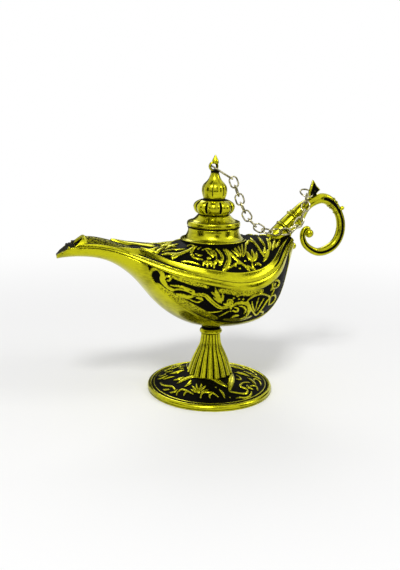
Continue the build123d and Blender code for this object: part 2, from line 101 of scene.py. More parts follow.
# Relief strokes. Each row has the half widths in millimetres at its start, middle and end, the depth share
# of a groove down its middle, and pairs of station place and share from the seam to the keel or the crest.
BOWL_STROKES = (
    # Scroll head with its curl
    (0.46, 0.84, 0.63, 0.5, 5.52, 0.239, 5.6, 0.147, 5.84, 0.077, 5.96, 0.097, 6.02, 0.139, 5.98, 0.212,
     6.08, 0.255, 6.22, 0.278, 6.4, 0.278),
    (0.55, 0.42, 0.38, 0, 6.14, 0.251, 6.08, 0.197, 6.12, 0.151, 6.22, 0.124, 6.32, 0.124, 6.28, 0.166,
     6.2, 0.181),
    # Long leaf and leaf mass
    (0.21, 0.42, 0.38, 0, 6.22, 0.351, 6.42, 0.274, 6.66, 0.22, 6.9, 0.208, 7.06, 0.22),
    (0.21, 0.46, 0.38, 0, 6.3, 0.228, 6.48, 0.205, 6.66, 0.185, 6.9, 0.178, 7.08, 0.181),
    (0.38, 0.5, 0.29, 0, 7.08, 0.181, 7.08, 0.197, 7.06, 0.22),
    (0.34, 0.92, 0.67, 0.3, 6.52, 0.313, 6.7, 0.297, 6.86, 0.29, 7.02, 0.259),
    # Wave with its foot and hook
    (0.38, 0.8, 0.5, 0.7, 6.88, 0.32, 6.98, 0.274, 7.1, 0.232, 7.22, 0.208, 7.36, 0.197, 7.46, 0.205,
     7.6, 0.243, 7.76, 0.282, 7.94, 0.309, 8.1, 0.293, 8.22, 0.263, 8.26, 0.224, 8.2, 0.197, 8.14, 0.208,
     8.16, 0.243),
    (0.5, 0.63, 0.34, 0.3, 8.16, 0.243, 8.1, 0.255, 8.02, 0.255),
    (0.21, 0.42, 0.21, 0, 6.96, 0.305, 7.1, 0.309, 7.22, 0.309, 7.32, 0.278),
    (0.38, 0.63, 0.38, 0, 7.18, 0.255, 7.28, 0.247, 7.36, 0.266),
    # Palm
    (0.25, 0.71, 0.08, 0.25, 7.92, 0.251, 7.82, 0.181, 7.74, 0.127, 7.68, 0.077),
    (0.21, 0.55, 0.08, 0, 7.88, 0.239, 7.78, 0.189, 7.66, 0.154, 7.56, 0.139),
    (0.21, 0.5, 0.08, 0, 7.92, 0.247, 7.94, 0.178, 7.9, 0.112),
    (0.17, 0.42, 0.08, 0, 7.86, 0.251, 7.76, 0.22, 7.66, 0.197),
    # Rosettes and bits
    (0.59, 0.59, 0.59, 0, 8.3, 0.093), (0.59, 0.59, 0.59, 0, 8.4, 0.077), (0.59, 0.59, 0.59, 0, 8.5, 0.089),
    (0.59, 0.59, 0.59, 0, 8.52, 0.124), (0.59, 0.59, 0.59, 0, 8.42, 0.139),
    (0.59, 0.59, 0.59, 0, 8.3, 0.124), (0.42, 0.42, 0.42, 0, 8.3, 0.17), (0.42, 0.42, 0.42, 0, 8.48, 0.178),
    (0.46, 0.46, 0.46, 0, 8.64, 0.181),
    # Round scroll with its curls, and the leaf below
    (0.29, 0.76, 0.34, 0.6, 8.3, 0.351, 8.28, 0.29, 8.36, 0.251, 8.48, 0.228, 8.68, 0.228, 8.86, 0.263,
     8.94, 0.332, 8.94, 0.409, 8.86, 0.463, 8.72, 0.494),
    (0.34, 0.46, 0.38, 0, 8.36, 0.332, 8.44, 0.351, 8.52, 0.336, 8.48, 0.297, 8.4, 0.293),
    (0.17, 0.5, 0.17, 0, 8.54, 0.27, 8.68, 0.282, 8.8, 0.336, 8.78, 0.405),
    (0.21, 0.71, 0.13, 0, 8.4, 0.467, 8.5, 0.421, 8.64, 0.417),
    # Tendrils
    (0.25, 0.34, 0.13, 0, 8, 0.444, 8.12, 0.39, 8.24, 0.34),
    (0.17, 0.34, 0.13, 0, 7.52, 0.413, 7.74, 0.398, 8.02, 0.347),
    # Fan
    (0.38, 0.46, 0.38, 0, 8.9, 0.27, 8.82, 0.205, 8.98, 0.166, 9.26, 0.151, 9.58, 0.181, 9.88, 0.255,
     9.74, 0.297, 9.58, 0.359, 9.44, 0.429, 9.32, 0.467, 9.06, 0.355, 8.9, 0.27),
    (0.17, 0.34, 0.21, 0, 9.22, 0.39, 9.06, 0.297, 9, 0.224),
    (0.17, 0.34, 0.21, 0, 9.24, 0.382, 9.22, 0.282, 9.28, 0.197),
    (0.17, 0.34, 0.21, 0, 9.3, 0.39, 9.4, 0.301, 9.56, 0.232),
    # Rear leaf, bloom and stem, and the curl on the edge
    (0.34, 0.42, 0.34, 0, 9.92, 0.382, 9.92, 0.29, 10.08, 0.266, 10.34, 0.328, 10.34, 0.402, 10.12, 0.409,
     9.92, 0.382),
    (0.38, 0.5, 0.38, 0, 10.08, 0.162, 10.08, 0.112, 10.3, 0.104, 10.6, 0.162, 10.62, 0.216, 10.34, 0.205,
     10.08, 0.162),
    (0.21, 0.38, 0.21, 0, 10.02, 0.247, 10.14, 0.224, 10.22, 0.197),
    (0.38, 0.55, 0.21, 0, 9.44, 0.409, 9.7, 0.486, 9.64, 0.529),
)
COVER_STROKES = (
    # S scroll
    (0.84, 0.59, 0.34, 0, 6.68, 0.51, 6.9, 0.598, 7.1, 0.656, 7.26, 0.691, 7.4, 0.734, 7.48, 0.784,
     7.42, 0.815, 7.32, 0.792),
    (0.17, 1.01, 0.5, 0.3, 6.62, 0.444, 6.82, 0.583, 7.08, 0.641),
    (0.21, 0.38, 0.25, 0, 6.4, 0.672, 6.74, 0.745, 7.02, 0.741, 7.2, 0.737),
    # Front leaves
    (0.17, 0.76, 0.21, 0.2, 6.44, 0.834, 6.76, 0.961, 7, 1),
    (0.17, 0.67, 0.21, 0.2, 6.58, 0.768, 6.86, 0.873, 7.12, 0.911),
    (0.17, 0.71, 0.17, 0, 6.04, 0.525, 6.3, 0.722, 6.62, 0.834),
    # Fluted scroll with its tip and gold leaf
    (0.38, 0.84, 0.92, 0.4, 7.32, 0.548, 7.32, 0.637, 7.42, 0.722, 7.58, 0.78, 7.78, 0.803, 8, 0.788,
     8.2, 0.741, 8.32, 0.656, 8.36, 0.552, 8.3, 0.448, 8.14, 0.344),
    (0.25, 0.59, 0.42, 0, 7.52, 0.691, 7.66, 0.734, 7.84, 0.737, 8, 0.691, 8.1, 0.606, 8.12, 0.514,
     8.04, 0.436),
    (0.17, 0.55, 0.25, 0, 7.6, 0.66, 7.76, 0.687, 7.9, 0.649, 7.94, 0.568, 7.92, 0.494),
    (0.92, 1.09, 0.21, 0, 8.26, 0.429, 8.16, 0.355, 8.02, 0.293),
    (0.17, 0.88, 0.17, 0.25, 7.72, 0.668, 7.8, 0.61, 7.84, 0.514),
    # Low curls
    (0.38, 0.55, 0.21, 0, 7.28, 0.587, 7.32, 0.529, 7.4, 0.498, 7.52, 0.483),
    (0.21, 0.42, 0.21, 0, 7.42, 0.614, 7.46, 0.571, 7.56, 0.568),
    # Bell and the curl beside it
    (0.71, 0.71, 0.71, 0, 7.7, 0.506), (0.17, 0.55, 0.21, 0, 7.64, 0.463, 7.54, 0.421, 7.46, 0.347),
    (0.21, 0.55, 0.21, 0, 7.66, 0.459, 7.62, 0.402, 7.58, 0.336),
    (0.17, 0.55, 0.21, 0, 7.7, 0.463, 7.72, 0.425, 7.72, 0.355),
    (0.25, 0.59, 0.42, 0, 7.78, 0.324, 7.8, 0.398, 7.88, 0.452, 7.96, 0.456, 8, 0.417, 7.96, 0.382),
    # Ribbon and shell
    (0.34, 0.63, 0.46, 0.5, 8.24, 0.764, 8.36, 0.645, 8.52, 0.544, 8.7, 0.448, 8.92, 0.363, 9.02, 0.293),
    (0.13, 0.46, 0.25, 0, 8.8, 0.51, 8.7, 0.579, 8.6, 0.625),
    (0.13, 0.46, 0.25, 0, 8.86, 0.521, 8.8, 0.622, 8.74, 0.71),
    (0.13, 0.46, 0.25, 0, 8.9, 0.525, 8.96, 0.645, 9, 0.753),
    (0.13, 0.46, 0.25, 0, 8.96, 0.525, 9.12, 0.649, 9.28, 0.772),
    (0.13, 0.46, 0.25, 0, 9, 0.517, 9.24, 0.622, 9.48, 0.745),
    # Buds on a stem
    (0.25, 0.92, 0.34, 0.3, 9.3, 0.425, 9.26, 0.498, 9.28, 0.587),
    (0.21, 0.76, 0.21, 0, 9.34, 0.429, 9.48, 0.506, 9.58, 0.618),
    (0.21, 0.63, 0.17, 0, 9.38, 0.421, 9.62, 0.486, 9.74, 0.568),
    (0.21, 0.38, 0.34, 0, 9.3, 0.425, 9.26, 0.359, 9.28, 0.286),
    # Second ribbon and back leaves
    (0.29, 0.59, 0.38, 0.4, 10.04, 0.876, 10, 0.703, 10.02, 0.556, 10.1, 0.417),
    (0.21, 0.84, 0.21, 0.3, 9.86, 0.378, 10.22, 0.448, 10.68, 0.56),
    (0.17, 0.63, 0.17, 0, 10.06, 0.51, 10.32, 0.556, 10.44, 0.625),
    (0.29, 0.67, 0.29, 0, 9.38, 0.359, 9.56, 0.371, 9.66, 0.324),
    # Leaves behind the neck
    (0.2, 0.9, 0.2, 0.3, 10.6, 0.52, 11.1, 0.66, 11.3, 0.84),
    (0.2, 0.8, 0.2, 0, 10.9, 0.5, 11.6, 0.6, 12.1, 0.76),
    (0.2, 0.7, 0.2, 0, 10.5, 0.62, 10.6, 0.78, 10.7, 0.92),
    (0.2, 0.6, 0.2, 0, 11.5, 0.5, 12.2, 0.56, 12.7, 0.68),
    (0.5, 0.9, 0.3, 0, 11.6, 0.8, 12.2, 0.88, 12.8, 0.98), (0.3, 0.6, 0.3, 0, 9.5, 0.72, 9.8, 0.8, 10, 0.72),
    (0.3, 0.6, 0.3, 0, 8.2, 0.82, 8.5, 0.78, 8.6, 0.72), (0.2, 0.5, 0.2, 0, 6.9, 0.42, 7.2, 0.42, 7.4, 0.36),
    (0.2, 0.5, 0.2, 0, 8.3, 0.35, 8.6, 0.42, 8.8, 0.4), (0.2, 0.5, 0.2, 0, 9, 0.38, 9.1, 0.34, 9.2, 0.3),
    # Leaves in front of the neck
    (0.2, 0.8, 0.2, 0.2, 6.3, 0.56, 6.7, 0.62, 7, 0.6), (0.2, 0.7, 0.2, 0, 5.5, 0.7, 5.8, 0.62, 6.2, 0.6),
    (0.2, 0.7, 0.2, 0, 6.5, 0.96, 6.8, 0.9, 7, 0.82),
    # Chips
    (0.5, 0.5, 0.5, 0, 8.5, 0.378), (0.42, 0.42, 0.42, 0, 8.66, 0.336), (0.42, 0.42, 0.42, 0, 9, 0.448),
    # Tongue on top of the spout, and a leaf beside it
    (0.3, 2.3, 2.6, 0.15, 4.15, 1, 4.75, 1, 5.4, 0.98, 6, 0.95),
    (0.21, 0.67, 0.21, 0, 5.74, 0.641, 6.02, 0.718, 6.38, 0.861),
)
# Gold dots on the black ground, drawn as wide strokes
BOWL_STIPPLE = (
    (1.2, 1.9, 1.2, 0, 5.84, 0.359, 6.12, 0.378, 6.54, 0.386, 6.96, 0.409, 7.36, 0.44, 7.88, 0.498),
    (0.9, 1.3, 0.9, 0, 7.88, 0.108, 8.32, 0.097, 8.88, 0.112, 9.44, 0.131),
    (0.5, 0.9, 0.5, 0, 6.32, 0.104, 6.92, 0.093, 7.46, 0.097),
    (0.8, 1.3, 0.8, 0, 8.26, 0.51, 8.78, 0.525, 9.12, 0.486), (0.5, 0.8, 0.5, 0, 10.02, 0.185, 10.34, 0.158),
)

# The foot's ornament, which goes round twice. The pairs are degrees about the axis and radius in mm.
FOOT_STROKES = (
    # Leaves and tendril
    (0.13, 0.97, 0.13, 0.3, -163, 17.4, -162, 13.9, -155, 10.1, -129, 9.5),
    (0.13, 1.09, 0.13, 0.3, -121, 9.5, -102, 9.5, -90, 12.6, -83, 16.1),
    (0.13, 1.26, 0.13, 0.3, -31, 9.8, -61, 12.2, -76, 15.3, -85, 18.7),
    (0.25, 0.46, 0.25, 0, -84, 18.8, -77, 19.9, -70, 21.2, -63, 21.3, -60, 19.5, -63, 17.5, -56, 16.5,
     -48, 16.8, -42, 18.2),
    # Daisy
    (0.17, 0.42, 0.21, 0, -126, 18.8, -132, 18.3, -136, 17.8),
    (0.17, 0.42, 0.21, 0, -126, 18.3, -132, 16.8, -138, 15.7),
    (0.17, 0.42, 0.21, 0, -125, 18, -129, 16, -134, 14),
    (0.17, 0.42, 0.21, 0, -124, 17.9, -124, 15.7, -125, 13.5),
    (0.17, 0.42, 0.21, 0, -122, 18, -120, 16.3, -117, 14.5),
    (0.17, 0.42, 0.21, 0, -121, 18.6, -117, 17.6, -113, 16.8), (0.63, 0.63, 0.63, 0, -124, 18.8),
    # Curls below the daisy
    (0.25, 0.42, 0.25, 0, -147, 22.6, -149, 21, -148, 19.4, -144, 18.9, -137, 19.3, -130, 20),
    (0.25, 0.42, 0.25, 0, -120, 21.5, -120, 19.4, -117, 18.4, -111, 18.2, -106, 18.7, -101, 20.8),
    (0.21, 0.38, 0.21, 0, -139, 21.8, -140, 20, -137, 19.3),
    (0.21, 0.38, 0.21, 0, -110, 21.3, -110, 19.6, -106, 18.7),
    # Curls and leaves beside it
    (0.25, 0.46, 0.25, 0, -186, 21.7, -176, 21.4, -169, 20.4, -162, 19.7, -155, 20.4),
    (0.13, 0.67, 0.13, 0.2, -189, 20.1, -189, 18, -185, 15.6),
    (0.13, 0.8, 0.13, 0.2, -31, 16.4, -33, 18.6, -39, 20.8),
    (0.21, 0.42, 0.21, 0, -82, 22.5, -76, 22.7, -71, 23.4, -63, 23, -57, 21.7),
    # Smaller leaves and curls
    (0.13, 0.9, 0.13, 0.3, -24, 11, -20, 14, -22, 17.4),
    (0.21, 0.42, 0.21, 0, -52, 13.2, -46, 14.6, -40, 13.6, -36, 11.8),
    (0.21, 0.42, 0.21, 0, -34, 22.6, -28, 22.2, -23, 20.8, -24, 19.4, -29, 19.6),
    (0.21, 0.42, 0.21, 0, -48, 22.8, -43, 21.6, -44, 20.2, -50, 19.6),
    (0.13, 0.6, 0.13, 0, -52, 21.4, -54, 19.4, -50, 18.2),
    (0.13, 0.6, 0.13, 0, -18, 22.6, -15, 20.4, -17, 18.2),
    (0.13, 0.7, 0.13, 0, -150, 12.4, -146, 14.6, -147, 17.2),
    (0.13, 0.5, 0.13, 0, -158, 22.6, -153, 21.6, -152, 19.6),
    (0.13, 0.5, 0.13, 0, -170, 22.9, -165, 22.4, -161, 21.2), (0.3, 0.3, 0.3, 0, -88, 21.6),
    (0.3, 0.3, 0.3, 0, -101, 15.4), (0.13, 0.6, 0.13, 0.2, -176, 17, -171, 15, -170, 12.6),
    (0.13, 0.42, 0.13, 0, -97, 16.6, -94, 18.8, -94, 21.6),
)

# Lines that bound the relief: station place and share
BOWL_RIM_LINE = ((0.45, 0.1), (2.72, 0.05), (3.94, 0.069), (5.42, 0.073), (6.64, 0.073), (8.1, 0.07),
                 (9.32, 0.093), (10.5, 0.1), (11.24, 0.12), (14.0, 0.16))
BOWL_LOW_LINE = ((5.0, 0.07), (5.45, 0.1), (5.5, 0.232), (5.68, 0.344), (6.08, 0.402), (6.78, 0.456),
                 (7.42, 0.529), (8.04, 0.568), (8.72, 0.606), (9.18, 0.6), (9.8, 0.58), (10.6, 0.56),
                 (11.6, 0.54), (12.4, 0.44), (13.0, 0.16), (14.0, 0.16))
COVER_BAND_LINE = ((0.5, 0.24), (2.5, 0.28), (4.02, 0.31), (4.6, 0.46), (5.38, 0.622), (5.94, 0.533),
                   (6.52, 0.409), (7.02, 0.347), (7.52, 0.29), (8.34, 0.259), (9.6, 0.274), (10.26, 0.305),
                   (11.24, 0.375), (12.86, 0.448), (14.0, 0.5))


def along(share):
    """x in millimetres of a share of the spout's or the rear's reach."""
    return share * (SPOUT_REACH if share < 0 else REAR_REACH)


def rise(share):
    """Height in millimetres of a share of the hull's depth."""
    return HULL_FLOOR + HULL_DEPTH * share


STATIONS = np.array([
    (along(fx), rise(fz), along(cx), rise(cz), at, HALF_WIDTH * half)
    for fx, fz, cx, cz, at, half in STATION_SHARES
])


def spline_rows(rows, at):
    """Values at places along a smooth curve through rows, whose knots are 0, 1, 2 and so on."""
    count = len(rows)
    system = np.eye(count)
    bends = np.zeros_like(rows, float)
    for i in range(1, count - 1):
        system[i, i - 1:i + 2] = (1, 4, 1)
        bends[i] = 6 * (rows[i + 1] - 2 * rows[i] + rows[i - 1])
    bends = np.linalg.solve(system, bends)
    at = np.asarray(at, float)
    i = np.clip(np.floor(at).astype(int), 0, count - 2)
    f = (at - i)[..., None]
    low, high = (f ** 3 - f) / 6, ((1 - f) ** 3 - (1 - f)) / 6
    return rows[i] * (1 - f) + rows[i + 1] * f + bends[i + 1] * low + bends[i] * high


def hull_frames(at):
    """At station places: seam points, unit up directions, depths and heights from the seam, half widths."""
    rows = spline_rows(STATIONS, at)
    floor, crest = rows[..., 0:2], rows[..., 2:4]
    seam = floor + (crest - floor) * rows[..., 4:5]
    up = crest - floor
    span = np.linalg.norm(up, axis=-1)
    return seam, up / span[..., None], span * rows[..., 4], span * (1 - rows[..., 4]), rows[..., 5]


def hull_point(seam, up, across, rise_mm):
    """Points from a seam point, a distance across and a distance along the section's up direction."""
    x = seam[..., 0] + up[..., 0] * rise_mm
    z = seam[..., 1] + up[..., 1] * rise_mm
    return np.stack([x, across, z], -1)


def crown(u):
    """Shares of half width and height above the widest place, at u from 0 there to 1 on the crest."""
    (y1, z1), (y2, z2) = CROWN_PULLS
    first, second = 3 * (1 - u) ** 2 * u, 3 * (1 - u) * u ** 2
    return (1 - u) ** 3 + first * y1 + second * y2, first * z1 + second * z2 + u ** 3


CROWN_HALF, CROWN_RISE = crown(np.linspace(0, 1, 240))


def skin_half(at, from_floor, span, half):
    """Half width of the skin at a distance from the floor point, along the section's up direction."""
    widest = span * spline_rows(np.array(WIDEST_SHARES)[:, None], at)[..., 0]
    low = np.sqrt(np.clip(1 - np.clip(1 - from_floor / widest, 0, 1) ** 2, 0, 1))
    high = np.interp((from_floor - widest) / (span - widest), CROWN_RISE, CROWN_HALF)
    return half * np.where(from_floor < widest, low, high)


def bowl_point(at, turn):
    """Outside of the bowl. turn is 0 at the seam on the far side and a half turn at the near seam."""
    seam, up, depth, height, half = hull_frames(at)
    side = skin_half(at, depth * (1 - np.sin(turn)), depth + height, half)
    return hull_point(seam, up, np.sign(np.cos(turn)) * side, -depth * np.sin(turn))


def cover_point(at, share):
    """Outside of the cover. share is -1 at the seam on the near side, 0 on the crest, 1 on the far side."""
    seam, up, depth, height, half = hull_frames(at)
    u = 1 - np.abs(share)
    tall = SEAM_GAP * (1 - u) ** 3 + height * crown(u)[1]
    side = skin_half(at, depth + tall, depth + height, half)
    return hull_point(seam, up, np.sign(share) * side, tall)


# Meshes


def new_object(name, data):
    obj = bpy.data.objects.new(name, data)
    bpy.context.scene.collection.objects.link(obj)
    return obj


def grid_object(name, points, raised=None, stipple=0.0, wrap_rows=False, wrap_columns=False, keep=None):
    """A mesh from a grid of points in millimetres. raised and stipple are the marks per point that the brass
    reads, and keep says which faces to keep."""
    rows, columns = points.shape[:2]
    index = np.arange(rows * columns).reshape(rows, columns)
    if wrap_rows:
        index = np.vstack([index, index[:1]])
    if wrap_columns:
        index = np.hstack([index, index[:, :1]])
    quads = np.stack([index[:-1, :-1], index[:-1, 1:], index[1:, 1:], index[1:, :-1]], -1).reshape(-1, 4)
    if keep is not None:
        quads = quads[keep.reshape(-1)]
    used, quads = np.unique(quads, return_inverse=True)
    mesh = bpy.data.meshes.new(name)
    mesh.from_pydata((points.reshape(-1, 3)[used] * MM).tolist(), [], quads.reshape(-1, 4).tolist())
    if raised is not None:
        for mark, values in (("raised", raised), ("stipple", stipple)):
            values = np.broadcast_to(values, (rows, columns)).reshape(-1)[used].astype(np.float32)
            mesh.attributes.new(mark, "FLOAT", "POINT").data.foreach_set("value", values)
    mesh.polygons.foreach_set("use_smooth", [True] * len(mesh.polygons))
    mesh.update()
    return new_object(name, mesh)


def grid_normals(points):
    """Unit normals of a grid of points."""
    normal = np.cross(np.gradient(points, axis=0), np.gradient(points, axis=1))
    return normal / np.maximum(np.linalg.norm(normal, axis=-1, keepdims=True), 1e-9)


def circle(count):
    """Even bearings round a full turn."""
    return np.linspace(0, 2 * math.pi, count, endpoint=False)


def bowl_place(at, share):
    """Outside of the bowl's near side. share is 0 at the seam and 1 on the keel."""
    return bowl_point(at, math.pi * (1 - share / 2))


def cover_place(at, share):
    """Outside of the cover's near side. share is 0 at the seam and 1 on the crest."""
    return cover_point(at, share - 1)


def line_at(line, at):
    """Shares of a bounding line at station places."""
    return np.interp(at, *zip(*line))


def smooth_step(low, high, value):
    f = np.clip((value - low) / (high - low), 0, 1)
    return f * f * (3 - 2 * f)


def drawn_line(distance, half_width):
    """1 on a line and 0 away from it, from the distance to the line."""
    return np.exp(-(distance / half_width) ** 2)


def path_lengths(path):
    """Length along a path from its start to each of its points."""
    return np.concatenate([[0], np.cumsum(np.linalg.norm(np.diff(path, axis=0), axis=1))])


def smooth_path(points, step):
    """A smooth curve through points, as places about a step apart, with the share of the way at each."""
    if len(points) == 1:
        return points, np.array([0.5])
    fine = np.linspace(0, len(points) - 1, 12 * len(points))
    path = spline_rows(points, fine)
    length = path_lengths(path)
    even = np.linspace(0, length[-1], max(int(length[-1] / step), 2) + 1)
    return np.stack([np.interp(even, length, path[:, k]) for k in range(3)], 1), even / length[-1]


def relief_height(surface, strokes, place):
    """Height of the relief over its ground, up to about 1, at the points of a surface. place turns the
    pairs of a stroke into points in millimetres."""
    flat = surface.reshape(-1, 3)
    height = np.zeros(len(flat))
    for first, middle, last, groove, *pairs in strokes:
        path, share = smooth_path(place(*np.reshape(pairs, (-1, 2)).T), 0.12)
        width = np.where(share < 0.5, first + (middle - first) * np.sin(math.pi * share),
                         last + (middle - last) * np.sin(math.pi * share))
        reach = width.max() + 0.3
        near = np.flatnonzero((flat > path.min(0) - reach).all(1) & (flat < path.max(0) + reach).all(1))
        if not len(near):
            continue
        apart = np.linalg.norm(flat[near][:, None, :] - path[None, :, :], axis=2)
        nearest = (apart / width[None, :]).argmin(1)
        ratio = apart[np.arange(len(near)), nearest] / width[nearest]
        # A round back that ends a little past the half width, with the groove down it. Thin strokes are low.
        raised = np.sqrt(np.clip(1.25 - ratio ** 2, 0, 1))
        raised -= groove * np.clip(1 - (ratio / 0.42) ** 2, 0, 1)
        height[near] = np.maximum(height[near], raised * (0.6 + 0.4 * np.clip(width[nearest] / 0.6, 0, 1)))
    return height.reshape(surface.shape[:-1])


def both_sides(points, strokes, place):
    """The relief of a grid whose columns start on the near side, mirrored from there to the far side."""
    columns = points.shape[1]
    near = relief_height(points[:, :(columns + 1) // 2], strokes, place)
    return np.hstack([near, near[:, ::-1]])[:, :columns]


# Settings


class BrassSettings(bpy.types.PropertyGroup):
    """Colours of the metal."""
    polished: bpy.props.FloatVectorProperty(
        name="Polished brass", description="Colour of bright metal", subtype="COLOR", size=3,
        default=(0.57, 0.555, 0.012), min=0, max=1)
    shaded: bpy.props.FloatVectorProperty(
        name="Tarnished brass", description="Colour of metal with a thin tarnish", subtype="COLOR", size=3,
        default=(0.13, 0.12, 0.004), min=0, max=1)
    patina: bpy.props.FloatVectorProperty(
        name="Patina", description="Colour of the black left in the hollows", subtype="COLOR", size=3,
        default=(0.0012, 0.0012, 0.0005), min=0, max=1)
    chain: bpy.props.FloatVectorProperty(
        name="Chain wire", description="Colour of the pale chain wire", subtype="COLOR", size=3,
        default=(0.62, 0.58, 0.38), min=0, max=1)
    roughness: bpy.props.FloatProperty(
        name="Roughness", description="Roughness of the polished metal", default=0.2, min=0, max=1)


class ReliefSettings(bpy.types.PropertyGroup):
    """Sizes of the cast relief."""
    ground_depth: bpy.props.FloatProperty(
        name="Ground depth", description="Depth of the relief's ground below the skin, in millimetres",
        default=0.4, min=0.0, max=1.0)
    step: bpy.props.FloatProperty(
        name="Mesh step", description="Size of the relief's mesh faces, in millimetres", default=0.33,
        min=0.15, max=2.0)
    shell: bpy.props.FloatProperty(
        name="Shell", description="Thickness of the cast wall", default=1.4 * MM, min=0.0005, max=0.003,
        unit="LENGTH")


class ChainSettings(bpy.types.PropertyGroup):
    """Sizes of the chain."""
    wire_radius: bpy.props.FloatProperty(
        name="Wire radius", description="Radius of the chain's wire", default=0.35 * MM, min=0.0002,
        max=0.001, unit="LENGTH")


class StageSettings(bpy.types.PropertyGroup):
    """Camera, floor and light."""
    focal_length: bpy.props.FloatProperty(
        name="Focal length", description="Focal length of the camera in millimetres", default=42.95, min=10,
        max=200)
    floor_colour: bpy.props.FloatVectorProperty(
        name="Floor", description="Colour of the floor", subtype="COLOR", size=3,
        default=(0.93, 0.93, 0.93), min=0, max=1)
    sky_strength: bpy.props.FloatProperty(
        name="Sky", description="Light from all round", default=0.45, min=0, max=2)


# Materials


class Nodes:
    """Builds node trees. Each method adds a node and returns its output socket."""

    def __init__(self, tree):
        self.tree = tree

    def find(self, kind):
        return next(n for n in self.tree.nodes if n.type == kind)

    def node(self, kind, **settings):
        made = self.tree.nodes.new(kind)
        for key, value in settings.items():
            setattr(made, key, value)
        return made

    def feed(self, socket, value):
        if isinstance(value, bpy.types.NodeSocket):
            self.tree.links.new(value, socket)
        else:
            socket.default_value = value

    def math(self, operation, a, b):
        made = self.node("ShaderNodeMath", operation=operation)
        self.feed(made.inputs[0], a)
        self.feed(made.inputs[1], b)
        return made.outputs[0]

    def ramp(self, value, low, high, out_low=0.0, out_high=1.0):
        made = self.node("ShaderNodeMapRange", interpolation_type="SMOOTHSTEP")
        for key, v in (("Value", value), ("From Min", low), ("From Max", high), ("To Min", out_low),
                       ("To Max", out_high)):
            self.feed(made.inputs[key], v)
        return made.outputs["Result"]

    def seen(self):
        """1 for what the camera sees, itself or in a reflection or through glass."""
        path = self.node("ShaderNodeLightPath")
        seen = self.math("MAXIMUM", path.outputs["Is Camera Ray"], path.outputs["Is Glossy Ray"])
        return self.math("MAXIMUM", seen, path.outputs["Is Transmission Ray"])


class Recipe(Nodes):
    """Builds one material about its shader, with textures in the object's own coordinates."""

    def __init__(self, name):
        self.material = bpy.data.materials.new(name)
        self.material.use_nodes = True
        super().__init__(self.material.node_tree)
        self.shader = self.find("BSDF_PRINCIPLED")
        self.place = self.node("ShaderNodeTexCoord").outputs["Object"]

    def set(self, name, value):
        self.feed(self.shader.inputs[name], value)

    def noise(self, scale, detail=3.0, stretch=(1, 1, 1)):
        mapping = self.node("ShaderNodeMapping")
        mapping.inputs["Scale"].default_value = stretch
        self.feed(mapping.inputs["Vector"], self.place)
        made = self.node("ShaderNodeTexNoise")
        self.feed(made.inputs["Vector"], mapping.outputs[0])
        made.inputs["Scale"].default_value = scale
        made.inputs["Detail"].default_value = detail
        made.inputs["Roughness"].default_value = 0.55
        return made.outputs["Fac"]

    def cells(self, scale):
        made = self.node("ShaderNodeTexVoronoi")
        self.feed(made.inputs["Vector"], self.place)
        made.inputs["Scale"].default_value = scale
        return made.outputs["Distance"]

    def mark(self, name):
        return self.node("ShaderNodeAttribute", attribute_name=name).outputs["Fac"]

    def mix(self, factor, a, b):
        made = self.node("ShaderNodeMix", data_type="RGBA")
        self.feed(made.inputs[0], factor)
        for socket, value in ((made.inputs[6], a), (made.inputs[7], b)):
            self.feed(socket, value if isinstance(value, bpy.types.NodeSocket) else (*value, 1))
        return made.outputs[2]

    def bump(self, height, strength, distance):
        made = self.node("ShaderNodeBump")
        made.inputs["Strength"].default_value = strength
        made.inputs["Distance"].default_value = distance
        self.feed(made.inputs["Height"], height)
        self.set("Normal", made.outputs[0])


def brass_recipe(name, engraved=True, stippled=False, tarnish=0.55, roughness=None):
    """Yellow brass with a cloudy tarnish and fine scratches. Engraved brass is black, with a ragged edge,
    where the mark raised is low, and stippled brass has gold dots on that black."""
    settings = bpy.context.scene.lamp_brass
    r = Recipe(name)
    clouds = r.noise(90.0, 4.0)
    fine = r.noise(2600.0, 2.0)
    streaks = r.noise(420.0, 3.0, (1.0, 1.0, 3.5))
    worn = r.math("ADD", r.math("MULTIPLY", clouds, 0.6), r.math("MULTIPLY", streaks, 0.4))
    metal = r.mix(r.ramp(worn, 0.4, 0.64, 0.0, tarnish), settings.polished, settings.shaded)
    rough = settings.roughness if roughness is None else roughness
    shine = r.ramp(fine, 0.3, 0.75, rough * 0.7, rough * 1.5)
    if engraved:
        edge = r.math("MULTIPLY", r.math("SUBTRACT", r.noise(1500.0, 2.0), 0.5), 0.5)
        black = r.ramp(r.math("ADD", r.mark("raised"), edge), 0.36, 0.7, 1.0, 0.0)
        if stippled:
            dots = r.math("MULTIPLY", r.ramp(r.cells(1900.0), 0.28, 0.5), r.mark("stipple"))
            black = r.math("MULTIPLY", black, r.math("SUBTRACT", 1.0, dots))
        metal = r.mix(black, metal, settings.patina)
        shine = r.math("ADD", shine, r.math("MULTIPLY", black, 0.3))
        r.set("Metallic", r.math("SUBTRACT", 1.0, black))
        r.shader.inputs["Specular IOR Level"].default_value = 0.03
    else:
        r.shader.inputs["Metallic"].default_value = 1.0
    r.set("Base Color", metal)
    r.set("Roughness", shine)
    r.bump(r.math("ADD", fine, r.math("MULTIPLY", clouds, 0.6)), 0.12, 0.00005)
    return r.material


def black_recipe():
    """Near black on the inner faces, clouded a little."""
    r = Recipe("inner_black")
    clouds = r.noise(300.0, 4.0)
    r.set("Base Color", r.mix(clouds, (0.004, 0.004, 0.002), (0.02, 0.018, 0.006)))
    r.set("Roughness", r.ramp(clouds, 0.3, 0.7, 0.45, 0.8))
    r.shader.inputs["Metallic"].default_value = 0.4
    r.bump(clouds, 0.2, 0.0001)
    return r.material


